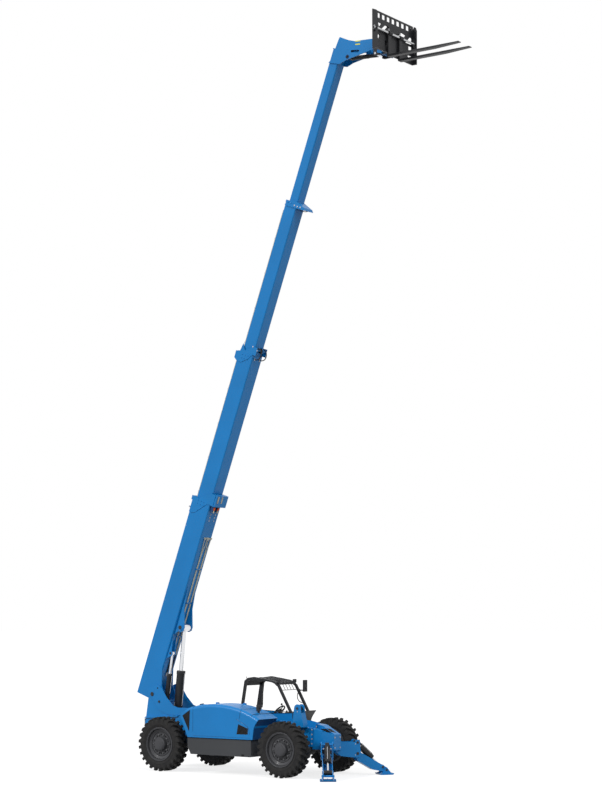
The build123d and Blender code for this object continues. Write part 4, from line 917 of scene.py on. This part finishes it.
def mirrors():
    """Glass of the cab's mirror and of the hood's, and the joints' knobs in front of them."""
    centre = at(-1.04, 1.3, 2.058)
    glass = mirror_glass("mirror_glass", "chassis", centre, (0.055, 0.135), 0.0262)
    for rise in (-0.06, 0.06):
        glass.add(turned([(0.016, -0.004), (0.016, 0.008), (0.012, 0.012)],
                         centre + (0.026, 0, rise), FORWARD, 16), plastic)
    glass.done(bevel=0.001)
    centre = at(-0.93, -0.8, 1.596)
    glass = mirror_glass("hood_mirror_glass", "hood_lid", centre, (0.046, 0.066), 0.0302)
    glass.add(turned([(0.018, -0.004), (0.018, 0.012), (0.013, 0.017)],
                     centre + (0.03, 0, 0), FORWARD, 18), plastic)
    glass.done(bevel=0.001)


def cab_seals():
    """Seals along the sills, ribs on the roof, blocks at its front corners, door hinges and
    the aerial."""
    seals = Piece("cab_seals", "chassis", "dark_plastic", shadow_black)
    for y in (CAB_NEAR - 0.001, CAB_FAR + 0.001):
        sill = from_axle([(-2.41, y, 1.432), (-2.3, y, 1.432), (-1.6, y, 1.402), (-0.8, y, 1.432)])
        seals.add(swept(sill, 0.0085, 8))
    for y in np.linspace(0.56, 1.08, 4):
        rib = from_axle([(-2.17, y, 2.232), (-1.99, y, 2.263), (-1.76, y, 2.246)])
        seals.add(swept(rib, 0.009, 8), black)
    for y in (0.47, 1.16):
        corner = at(-1.235, y, 2.19)
        seals.add(block(corner - (0.05, 0.05, 0.045), corner + (0.0, 0.05, 0.035)), plastic)
    for z in (1.62, 2.0):
        hinge = at(-2.3, 1.224, z) + (0.03 * (z - 1.62), 0, 0)
        seals.add(drum(0.017, -0.05, 0.05, hinge, UP, 16), plastic)
    aerial = from_axle([(-2.245, 0.5, 2.2), (-2.247, 0.5, 2.24), (-2.262, 0.49, 2.285)])
    seals.add(swept(aerial, (0.012, 0.009, 0.006), 10), black)
    seals.done(bevel=0.003)


def cowl():
    """Curved panel that closes the cab's front below the screen."""
    panel = Piece("cowl", "chassis", "black_paint")
    edge = eased([(-0.635, 0, 1.476), (-0.672, 0, 1.425), (-0.715, 0, 1.369), (-0.756, 0, 1.31),
                  (-0.783, 0, 1.25), (-0.797, 0, 1.17), (-0.812, 0, 1.05), (-0.832, 0, 0.855)], 3)[:, ::2]
    back = [(-0.8415, 0.855), (-0.8, 1.425), (-0.72, 1.45)]
    panel.add(prism(np.vstack([edge, back]), at_side(CAB_NEAR), (0, CAB_FAR - CAB_NEAR, 0)))
    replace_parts(panel.done(bevel=0.003), "cab_cowl")


def cab_steps():
    """Two toothed treads below the door, between their side plates."""
    steps = Piece("cab_steps", "chassis", "black_paint")
    for z, reach in ((0.62, 1.2), (0.42, 1.19)):
        tread = [(-1.62, z), (-1.12, z), (-1.12, z + 0.025), (-1.62, z + 0.025)]
        steps.add(prism(tread, at_side(reach - 0.17), (0, 0.17, 0)))
        for tooth in FRONT_AXLE + np.linspace(-1.6, -1.14, 10):
            steps.add(block((tooth - 0.006, reach - 0.165, z + 0.024),
                            (tooth + 0.006, reach - 0.005, z + 0.031)))
    for front in (FRONT_AXLE - 1.64, FRONT_AXLE - 1.12):
        steps.add(block((front, 1.02, 0.4), (front + 0.02, 1.19, 0.775)))
    steps.done(bevel=0.003)


seat()
steering_wheel()
levers()
grab_rails()
mirrors()
cab_seals()
cowl()
cab_steps()


# ---------------------------------------------------------------------- boom
BOOM_PIVOT = at(-4.55, 0.0, 1.83)
BOOM_ANGLE = math.radians(70.0)
BOOM_ALONG = np.array((math.cos(BOOM_ANGLE), 0.0, math.sin(BOOM_ANGLE)))
BOOM_UNDER = np.array((math.sin(BOOM_ANGLE), 0.0, -math.cos(BOOM_ANGLE)))
# name of the body, end of the section, its top, its underside, its width
BOOM_ENDS = [("boom_base", 5.07, -0.63, -0.045, 0.46), ("boom_second", 8.92, -0.54, -0.07, 0.405),
             ("boom_third", 12.87, -0.455, -0.092, 0.35)]
# name of the body, start and end of its hoses, the section's top, the first hose's side
HOSE_RUNS = [("boom_second", 4.0, 8.66, -0.54, -0.17), ("boom_third", 7.95, 12.6, -0.455, -0.145)]
TILT_PIN = (16.63, 0.13)      # tilt ram's foot on the boom: along it, towards its underside
TILT_EYE = (2.095, 17.35)     # tilt ram's eye on the carriage: ahead of the axle, up
# name of the body, foot, eye, length, first and last clamp, radius
BOOM_RAMS = [("lift_barrel", (-4.067, 0.0, 1.2), (1.81, 0.0, 0.09), 1.215, 0.35, 1.16, 0.105),
             ("level_barrel", (-4.321, -0.12, 1.648), (1.096, -0.12, 0.03), 0.69, 0.2, 0.64, 0.065)]


def on_boom(s, y, n):
    """Place on the boom: s along it, y to the left, n towards its underside."""
    return BOOM_PIVOT + s * BOOM_ALONG + n * BOOM_UNDER + y * LEFT


def along_boom(points):
    """Places of points given as (s, y, n)."""
    return [on_boom(*point) for point in points]


def at_boom_side(y):
    """Turns (s, n) points into places on the boom at this y."""
    def place(points):
        flat = np.asarray(points, float)
        return BOOM_PIVOT + y * LEFT + flat[:, :1] * BOOM_ALONG + flat[:, 1:] * BOOM_UNDER
    return place


def boom_block(s, y, n):
    """Box on the boom from ranges of s, y and n, as two rings of four points."""
    ring = [(s[0], n[0]), (s[1], n[0]), (s[1], n[1]), (s[0], n[1])]
    return prism(ring, at_boom_side(y[0]), (0, y[1] - y[0], 0))


def tilt_boot():
    """Ribbed boot over the tilt ram's rod: a turned sleeve whose radius ripples along it."""
    foot, eye = on_boom(TILT_PIN[0], 0.0, TILT_PIN[1]), at(TILT_EYE[0], 0.0, TILT_EYE[1])
    axis = unit(eye - foot)
    length = float((eye - foot) @ axis)
    radius, ripple, per_metre = 0.044, 0.003, 170
    along = np.linspace(0.522, length - 0.05, 60)
    sleeve = [(radius + ripple * math.sin(per_metre * a), a) for a in along]
    boot = Piece("tilt_boot", "tilt_rod", "black_paint", hose_black)
    boot.add(turned(sleeve, foot, axis, 28))
    boot.done(smooth=60.0)


def collar_bolts(body, end, top, under, width):
    """Bolts of the wear pads at a section's front end: six on each side, three on top."""
    piece = Piece(f"collar_bolts_{body}", body, "blue_paint")
    middle, half = (top + under) / 2, width / 2
    for side in (-1, 1):
        out = side * (half + 0.0103)
        piece.bolts([on_boom(end - along, out, middle + across) for along in (0.05, 0.14)
                     for across in (-0.09, 0.0, 0.09)], side * LEFT, 0.0105)
    for y in (-0.09, 0.0, 0.09):
        piece.bolts([on_boom(end - 0.16, y, top - 0.001)], -BOOM_UNDER, 0.011, zinc)
    piece.done()


def base_collar():
    """Base's collar: bolts under it, two coloured hose ends in their openings, the tongue's
    pale stripes and the bracket on its top."""
    hose_n = 0.062
    base = Piece("collar_base_fittings", "boom_base", "dark_plastic", zinc)
    for y in (-0.09, 0.1):
        base.bolts([on_boom(s, y, -0.0455) for s in (4.6, 4.68, 4.76, 4.84)], BOOM_UNDER, 0.013)
    for y in (-0.15, 0.0):
        base.add(boom_block((5.1, 5.27), (y - 0.02, y + 0.02), (0.0985, 0.108)), hose_pale)
        base.add(drum(0.024, 0.0, 0.075, on_boom(4.905, y, hose_n), BOOM_ALONG, 18), hose_red)
        base.add(drum(0.017, 0.0, 0.07, on_boom(4.835, y, hose_n), BOOM_ALONG, 6), hose_pale)
        hose = along_boom([(4.98, y, hose_n), (5.02, y, 0.06), (5.08, y, 0.05)])
        base.add(swept(hose, 0.015, 12), shadow_black)
        # block round the hose ends in the darker blue: painted shade
        base.add(boom_block((4.85, 4.99), (y - 0.03, y + 0.03), (-0.046, 0.05)), blue_painted_shade)
    for n in (-0.706, -0.62):
        base.add(drum(0.012, -0.05, 0.05, on_boom(4.77, -0.18, n + 0.04), LEFT, 12))
    # bracket in the darker blue: painted shade
    base.add(boom_block((4.755, 4.785), (-0.19, -0.17), (-0.706, -0.628)), blue_painted_shade)
    base.done(bevel=0.002)


def second_collar():
    """Second section's collar: two looped hoses, the sheave and its pin."""
    second = Piece("collar_second_fittings", "boom_second", "dark_plastic", zinc)
    second.bolts([on_boom(9.129, side * 0.2128, -0.147) for side in (-1, 1)], RIGHT, 0.013)
    for y, lift in ((-0.11, 0.0), (0.1, 0.012)):
        loop = along_boom([(8.83, y, -0.06), (8.84, y, 0.01), (8.89, y, 0.07 + lift),
                           (8.98, y, 0.09 + lift), (9.08, y, 0.06), (9.12, y, -0.02), (9.09, y, -0.09)])
        second.add(swept(eased(loop, 8), 0.013, 12), hose_black)
        second.add(drum(0.018, -0.03, 0.03, loop[0], BOOM_ALONG, 6))
    axle_s, axle_n = 9.07, -0.02
    second.pin(on_boom(axle_s, -0.2035, axle_n), RIGHT, 0.034, 0.008)
    sheave = [(0.067, -0.0225), (0.067, -0.017), (0.056, -0.006), (0.056, 0.006), (0.067, 0.017),
              (0.067, 0.0225)]
    second.add(turned(sheave, on_boom(axle_s, 0.0, axle_n), LEFT, 48), shadow_black)
    second.done(smooth=45.0)


def third_collar():
    """Third section's collar: three bolts, a bright pipe over it and a hose under it."""
    face = -0.1852
    third = Piece("collar_third_fittings", "boom_third", "dark_plastic", zinc)
    third.bolts(along_boom([(12.784, face, -0.149), (12.773, face, -0.053), (12.779, face, 0.038)]),
                RIGHT, 0.013)
    over = along_boom([(12.7, -0.1, -0.455), (12.72, -0.1, -0.485), (12.786, -0.1, -0.495),
                       (12.83, -0.1, -0.47)])
    third.add(swept(eased(over, 6), 0.009, 10))
    under = along_boom([(12.7, 0.05, -0.09), (12.71, 0.05, 0.06), (12.752, 0.05, 0.14),
                        (12.8, 0.05, 0.1)])
    third.add(swept(eased(under, 6), 0.009, 10), hose_black)
    third.done(smooth=45.0)


def hose_run(body, start, stop, top, y):
    """Pair of hoses along a section's top, and the clips that hold them."""
    piece = Piece(f"hose_run_{body}", body, "hose_tan")
    for offset in (0.0, 0.026):
        run = [on_boom(s, y + offset, top - 0.011) for s in np.linspace(start, stop, 12)]
        piece.add(swept(run, 0.0105, 10))
    for s in np.arange(start + 0.3, stop, 0.9):
        piece.add(boom_block((s, s + 0.035), (y - 0.016, y + 0.042), (top - 0.0245, top + 0.004)), zinc)
    piece.done(smooth=50.0)


def base_tubes():
    """Four tubes under the base: from their block past three clamps, then spread to the
    nuts at the collar."""
    tubes = Piece("boom_tubes_bright", "boom_base", "hose_tan")
    tube_n = -0.0347
    for y, wide in ((-0.033, -0.066), (-0.009, 0.024), (0.113, 0.08), (0.137, 0.17)):
        run = along_boom([(1.0, y, tube_n), (1.9, y, tube_n), (2.8, y, tube_n), (3.6, y, tube_n),
                          (3.7, y, tube_n), (3.8, (3 * y + wide) / 4, tube_n + 0.004),
                          (3.92, (y + 3 * wide) / 4, tube_n + 0.008), (4.0, wide, tube_n + 0.01),
                          (4.13, wide, tube_n + 0.012)])
        tubes.add(swept(run, 0.0106, 12))
        tubes.add(drum(0.017, 0.0, 0.06, on_boom(4.08, wide, tube_n + 0.012), BOOM_ALONG, 6), zinc)
        tubes.add(swept(along_boom([(1.03, y, tube_n), (0.52, y, tube_n)]), 0.0115, 12), hose_black)
    tubes.add(boom_block((0.47, 0.55), (-0.047, 0.152), (-0.047, -0.014)), zinc)
    for s in (1.5, 2.4, 3.3):
        tubes.add(boom_block((s, s + 0.03), (-0.055, 0.16), (-0.05, -0.0215)), blue)
        tubes.bolts([on_boom(s + 0.015, 0.052, -0.0215)], BOOM_UNDER, 0.009, zinc)
    for y in (-0.066, 0.024, 0.08, 0.17):
        tubes.add(boom_block((4.12, 4.16), (y - 0.022, y + 0.022), (-0.048, 0.0)))
    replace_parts(tubes.done(smooth=50.0), "boom_tubes")


def head_fittings():
    """Boom head: pin ends, two slanted decals on each side, and the tilt ram's hoses."""
    lean = 0.035              # of the decals, towards the tip
    head = Piece("head_fittings", "boom_tip", "cast_axle", shadow_black)
    for side in (-1, 1):
        out, y = side * LEFT, side * 0.172
        tilt_pin = on_boom(TILT_PIN[0], y, TILT_PIN[1])
        head.pin(tilt_pin, out, 0.036, 0.008)
        head.pin(on_boom(17.07, side * 0.2105, 0.885), out, 0.036, 0.01)
        # dark blue ring round the tilt pin: painted shade
        head.add(drum(0.052, -0.002, 0.004, tilt_pin, out, 32), blue_painted_shade)
        for s, n in (((17.025, 17.05), (0.233, 0.37)), ((16.95, 16.975), (0.259, 0.396))):
            flat = [(s[0], n[0]), (s[1], n[0]), (s[1] + lean, n[1]), (s[0] + lean, n[1])]
            head.add(prism(flat, at_boom_side(y), (0, side * 0.0012, 0)), decal_yellow)
    for y in (-0.03, 0.03):
        run = along_boom([(16.72, y, -0.1), (16.8, y, 0.08), (16.86, y, 0.2), (16.84, y, 0.3)])
        head.add(swept(eased(run, 7), 0.012, 12), hose_black)
    head.done()


def base_pins():
    """Pins of the lift and level rams in the base's lugs, with their bosses and locks."""
    base = Piece("boom_base_pins", "boom_base", "cast_axle")
    # side's sign, y of the lug's face, s, n, radius
    for side, y, s, n, radius in ((-1, -0.175, 1.81, 0.09, 0.05), (-1, -0.175, 1.096, 0.03, 0.034),
                                  (1, 0.175, 1.81, 0.09, 0.05), (1, -0.045, 1.096, 0.03, 0.034)):
        out = side * LEFT
        base.add(turned([(1.7 * radius, -0.002), (1.7 * radius, 0.009), (1.6 * radius, 0.013)],
                        on_boom(s, y, n), out, 36), blue)
        base.pin(on_boom(s, y + side * 0.012, n), out, radius, 0.012)
        base.bolts([on_boom(s - 1.4 * radius, y + side * 0.011, n)], out, 0.008, zinc)
    for s in (2.3, 3.4, 4.3):
        base.bolts([on_boom(s, side * 0.2303, -0.585) for side in (-1, 1)], RIGHT, 0.006, zinc)
    base.done()


def ram_fittings(body, foot, eye, length, start, stop, radius):
    """Gland, foot band, two clamps and the pipe of a ram in the boom."""
    foot, eye = at(*foot), on_boom(*eye)
    axis = unit(eye - foot)
    ahead = np.cross(LEFT, axis)
    ahead = unit(ahead) * np.sign(ahead[0])
    ram = Piece(f"{body}_fittings", body, "black_paint")
    gland = [(radius - 0.002, -0.085), (radius * 1.06, -0.085), (radius * 1.06, -0.008),
             (radius, 0.002), (radius * 0.84, 0.003), (radius * 0.84, -0.001)]
    ram.add(turned(gland, foot + axis * length, axis, 48), closed=True)
    ram.add(turned(band(radius, radius * 1.05, 0.015), foot + axis * (start - 0.015), axis, 48),
            closed=True)
    seated, clear = radius - 0.002, radius + 0.014
    path = [(start, seated), (start + 0.02, clear), (start + 0.1, clear), (stop - 0.1, clear),
            (stop - 0.02, clear), (stop, seated)]
    ram.add(swept(eased([foot + axis * up + ahead * out for up, out in path], 5), 0.009, 10), zinc)
    for share in (0.3, 0.7):
        clamp = foot + axis * (start + share * (stop - start))
        ram.add(turned(band(radius, radius + 0.0035, 0.012), clamp, axis, 48), closed=True)
    ram.done(smooth=50.0)


tilt_boot()
for section in BOOM_ENDS:
    collar_bolts(*section)
base_collar()
second_collar()
third_collar()
for run in HOSE_RUNS:
    hose_run(*run)
base_tubes()
head_fittings()
base_pins()
for ram in BOOM_RAMS:
    ram_fittings(*ram)


# ------------------------------------------------------------ carriage, forks
CARRIAGE_FACE = FRONT_AXLE + 2.61
LATTICE = FRONT_AXLE + 2.46
SHAFT_X, SHAFT_Z = CARRIAGE_FACE - 0.065, 17.755
SHAFT_SKIN = 0.0256           # just over the shaft's radius
KNOB_X, KNOB_Z = CARRIAGE_FACE - 0.11 + 0.02, 17.795
FORK_TIP = FRONT_AXLE + 4.485
FORK_UNDER = 17.2255
PLATE_SIDE = 0.9281           # outer face of the carriage's end plates


def bright_shaft():
    """Bright steel on the part of the carriage's own mesh that is the forks' shaft."""
    plate = frame["nodes"]["carriage"]
    plate.data.materials.append(bright_steel)
    for polygon in plate.data.polygons:
        spot = plate.matrix_world @ polygon.center
        if math.hypot(spot.x - SHAFT_X, spot.z - SHAFT_Z) < SHAFT_SKIN:
            polygon.material_index = 1


def carriage_fittings():
    """Carriage's pin ends and plate bolts, the blue bar across it and its two stop screws."""
    piece = Piece("carriage_fittings", "carriage", "black_paint")
    for side in (-1, 1):
        out, y = side * LEFT, side * PLATE_SIDE
        for x, z in ((2.545, 17.784), (2.56, 17.745)):
            piece.bolts([at(x, y, z)], out, 0.012, zinc)
        piece.pin((SHAFT_X - 0.03, y, SHAFT_Z - 0.06), out, 0.03, 0.006)
        piece.pin(at(TILT_EYE[0], side * 0.2101, TILT_EYE[1]), out, 0.03, 0.008, zinc)
    for y, z in ((-0.42, 17.29), (0.42, 17.29), (-0.84, 17.32), (0.84, 17.32)):
        piece.bolts([(LATTICE - 0.0003, y, z)], REARWARD, 0.014, zinc)
    bar = [(2.175, 17.345), (2.3, 17.3), (2.33, 17.35), (2.2, 17.41)]
    piece.add(prism(bar, at_side(-0.27), (0, 0.54, 0)), blue)
    for y in (-0.1, 0.1):
        piece.add(turned([(0.014, -0.02), (0.014, 0.075), (0.01, 0.08)],
                         (LATTICE - 0.085, y, 17.45), REARWARD, 8), zinc)
    piece.done(bevel=0.002)


def fork_fittings(name, y):
    """Collars of one fork's eye, its locking knob, and the bright worn edges underneath."""
    fork = Piece(f"fork_fittings_{name}", f"fork_{name}", "black_paint")
    for lean in (-1, 1):
        ring = [(0.0345, lean * 0.0648), (0.0345, lean * 0.0695), (0.0305, lean * 0.0715),
                (0.0262, lean * 0.0715), (0.0262, lean * 0.0648)]
        fork.add(turned(ring, (SHAFT_X, y, SHAFT_Z), LEFT, 32), closed=True)
    fork.add(turned([(0.011, 0), (0.011, 0.05), (0.018, 0.055), (0.018, 0.075), (0.012, 0.08)],
                    (KNOB_X, y, KNOB_Z), UP, 16), zinc)
    for across in (-0.045, 0.045):
        fork.add(swept([(x, y + across, FORK_UNDER - 0.0012) for x in (FORK_TIP - 0.62, FORK_TIP - 0.003)],
                       0.0022, 6), bright_steel)
    fork.done(bevel=0.001)


bright_shaft()
carriage_fittings()
fork_fittings("right", -0.25)
fork_fittings("left", 0.25)


# ---------------------------------------------------------------- outriggers
LEG_YAW = math.radians(36.0)
LEG_X, LEG_Y, LEG_PIN_Z = FRONT_AXLE + 0.925, 0.606, 0.524
RAM_PIN_Z = LEG_PIN_Z + 0.26
# distance out from the leg's pivot, height
FOOT_PIN = (0.742, 0.115)
RAM_EYE = (0.65, 0.19)
PAD_TOP = 0.0395
# from the leg's middle plane out to the frame's lugs, the foot's pin ends, the ram eye's bosses
LUG_FACE = 0.1455
FOOT_FACE = 0.143
EYE_FACE = 0.118


def leg_fittings(name, side):
    """Pin ends of one leg and its ram, the ram's gland, foot band, pipe and plugs, the rod's
    eye, and the pad's ribs and bolts."""
    out = np.array((math.sin(LEG_YAW), side * math.cos(LEG_YAW), 0.0))
    across = np.array((side * math.cos(LEG_YAW), -math.sin(LEG_YAW), 0.0))
    pivot = np.array((LEG_X, LEG_Y * side, 0.0))

    def on_leg(reach, z, aside=0.0):
        """Place by its distance out from the leg's pivot, its height, and aside of the leg."""
        return pivot + out * reach + UP * z + across * aside

    frame_pins = Piece(f"leg_pins_{name}", "chassis", "cast_axle")
    leg = Piece(f"leg_fittings_{name}", f"outrigger_leg_{name}", "cast_axle")
    pad = Piece(f"pad_fittings_{name}", f"outrigger_pad_{name}", "blue_paint")
    barrel = Piece(f"outrigger_ram_fittings_{name}", f"outrigger_barrel_{name}", "black_paint")
    rod = Piece(f"outrigger_eye_{name}", f"outrigger_rod_{name}", "black_paint")
    for turn in (-1, 1):
        facing = turn * across
        for z, radius in ((LEG_PIN_Z, 0.033), (RAM_PIN_Z, 0.029)):
            frame_pins.pin(on_leg(0, z, turn * 0.1525), facing, radius, 0.009)
            frame_pins.bolts([on_leg(-0.055, z - 0.035, turn * LUG_FACE)], facing, 0.008, zinc)
        leg.pin(on_leg(*FOOT_PIN, turn * FOOT_FACE), facing, 0.026, 0.007)
        leg.add(turned([(0.047, -0.002), (0.047, 0.006), (0.043, 0.009)],
                       on_leg(*RAM_EYE, turn * EYE_FACE), facing, 32), blue)
        leg.pin(on_leg(*RAM_EYE, turn * 0.1265), facing, 0.028, 0.007)
        for reach in (-0.13, 0.13):
            pad.bolts([on_leg(FOOT_PIN[0] + reach, PAD_TOP, turn * 0.13)], UP, 0.013, zinc)
    for aside in (-0.1, 0.0, 0.1):
        rib = np.array([on_leg(FOOT_PIN[0] - back, z, aside) for back, z in
                        ((0.155, PAD_TOP), (0.05, PAD_TOP), (0.06, 0.062), (0.145, 0.055))])
        pad.add(np.stack([rib, rib + 0.012 * across]))
    start, eye = on_leg(0, RAM_PIN_Z), on_leg(*RAM_EYE)
    axis = unit(eye - start)
    above = np.cross(axis, across)
    above = unit(above) * np.sign(above[2])
    barrel.add(turned([(0.076, -0.075), (0.076, -0.006), (0.071, 0.003), (0.05, 0.003)],
                      start + 0.56 * axis, axis, 40))
    barrel.add(drum(0.0755, 0.0, 0.02, start + 0.1 * axis, axis, 40))
    path = [(0.14, 0.07), (0.15, 0.083), (0.24, 0.083), (0.44, 0.083), (0.5, 0.083), (0.51, 0.07)]
    barrel.add(swept(eased([start + up * axis + lift * above for up, lift in path], 6), 0.008, 10), zinc)
    for turn in (-1, 1):
        barrel.add(turned([(0.015, 0), (0.015, 0.03), (0.011, 0.034)],
                          start + 0.13 * axis + turn * 0.068 * across, turn * across, 6), zinc)
    rod.add(drum(0.0535, -0.097, 0.097, eye, across, 44))
    for piece in (frame_pins, leg, pad, barrel, rod):
        piece.done(smooth=40.0)


leg_fittings("right", -1)
leg_fittings("left", 1)


# ------------------------------------------------------------- floor and light
FLOOR_REACH = 400.0
FLOOR_TONE = 0.3              # in the light that it throws back
FLOOR_GLOW = 0.78             # where it is looked at


def white_floor():
    """Pale floor that keeps the machine's shadow and glows where it is looked at."""
    floor = bpy.data.objects.new("floor", bpy.data.meshes.new("floor"))
    corners = [(-FLOOR_REACH, -FLOOR_REACH, 0), (FLOOR_REACH, -FLOOR_REACH, 0),
               (FLOOR_REACH, FLOOR_REACH, 0), (-FLOOR_REACH, FLOOR_REACH, 0)]
    floor.data.from_pydata(corners, [], [(0, 1, 2, 3)])
    scene.collection.objects.link(floor)
    material = bpy.data.materials.new("floor_white")
    material.use_nodes = True
    nodes = Nodes(material.node_tree)
    shader = nodes.tree.nodes["Principled BSDF"]
    for name, value in (("Base Color", (FLOOR_TONE,) * 3 + (1.0,)), ("Roughness", 1.0),
                        ("Specular IOR Level", 0.0), ("Emission Color", WHITE),
                        ("Emission Strength", FLOOR_GLOW * nodes.looked_at())):
        nodes.feed(shader.inputs[name], value)
    floor.data.materials.append(material)


def white_world(light, background):
    """Even light all round, and a white background where it is looked at."""
    world = bpy.data.worlds.new("studio")
    scene.world = world
    world.use_nodes = True
    nodes = Nodes(world.node_tree)
    plain = nodes.tree.nodes["Background"]
    nodes.feed(plain.inputs["Color"], WHITE)
    nodes.feed(plain.inputs["Strength"], light)
    bright = nodes.node("ShaderNodeBackground", {}, {"Color": WHITE, "Strength": background})
    mixed = nodes.node("ShaderNodeMixShader", {},
                       [nodes.looked_at(), Value(nodes, plain.outputs[0]), bright])
    nodes.feed(nodes.tree.nodes["World Output"].inputs["Surface"], mixed)


def sun(name, toward, strength, softness):
    """Distant lamp shining along a direction; softness is its width in degrees."""
    lamp = bpy.data.objects.new(name, bpy.data.lights.new(name, "SUN"))
    lamp.data.energy = strength
    lamp.data.angle = math.radians(softness)
    lamp.rotation_mode = "QUATERNION"
    lamp.rotation_quaternion = Vector(toward).to_track_quat("-Z", "Y")
    scene.collection.objects.link(lamp)


white_floor()
white_world(0.55, 1.0)
sun("key_lamp", (0.35, 0.75, -0.62), 1.7, 12.0)
sun("fill_lamp", (-0.6, 0.3, -0.6), 0.9, 20.0)
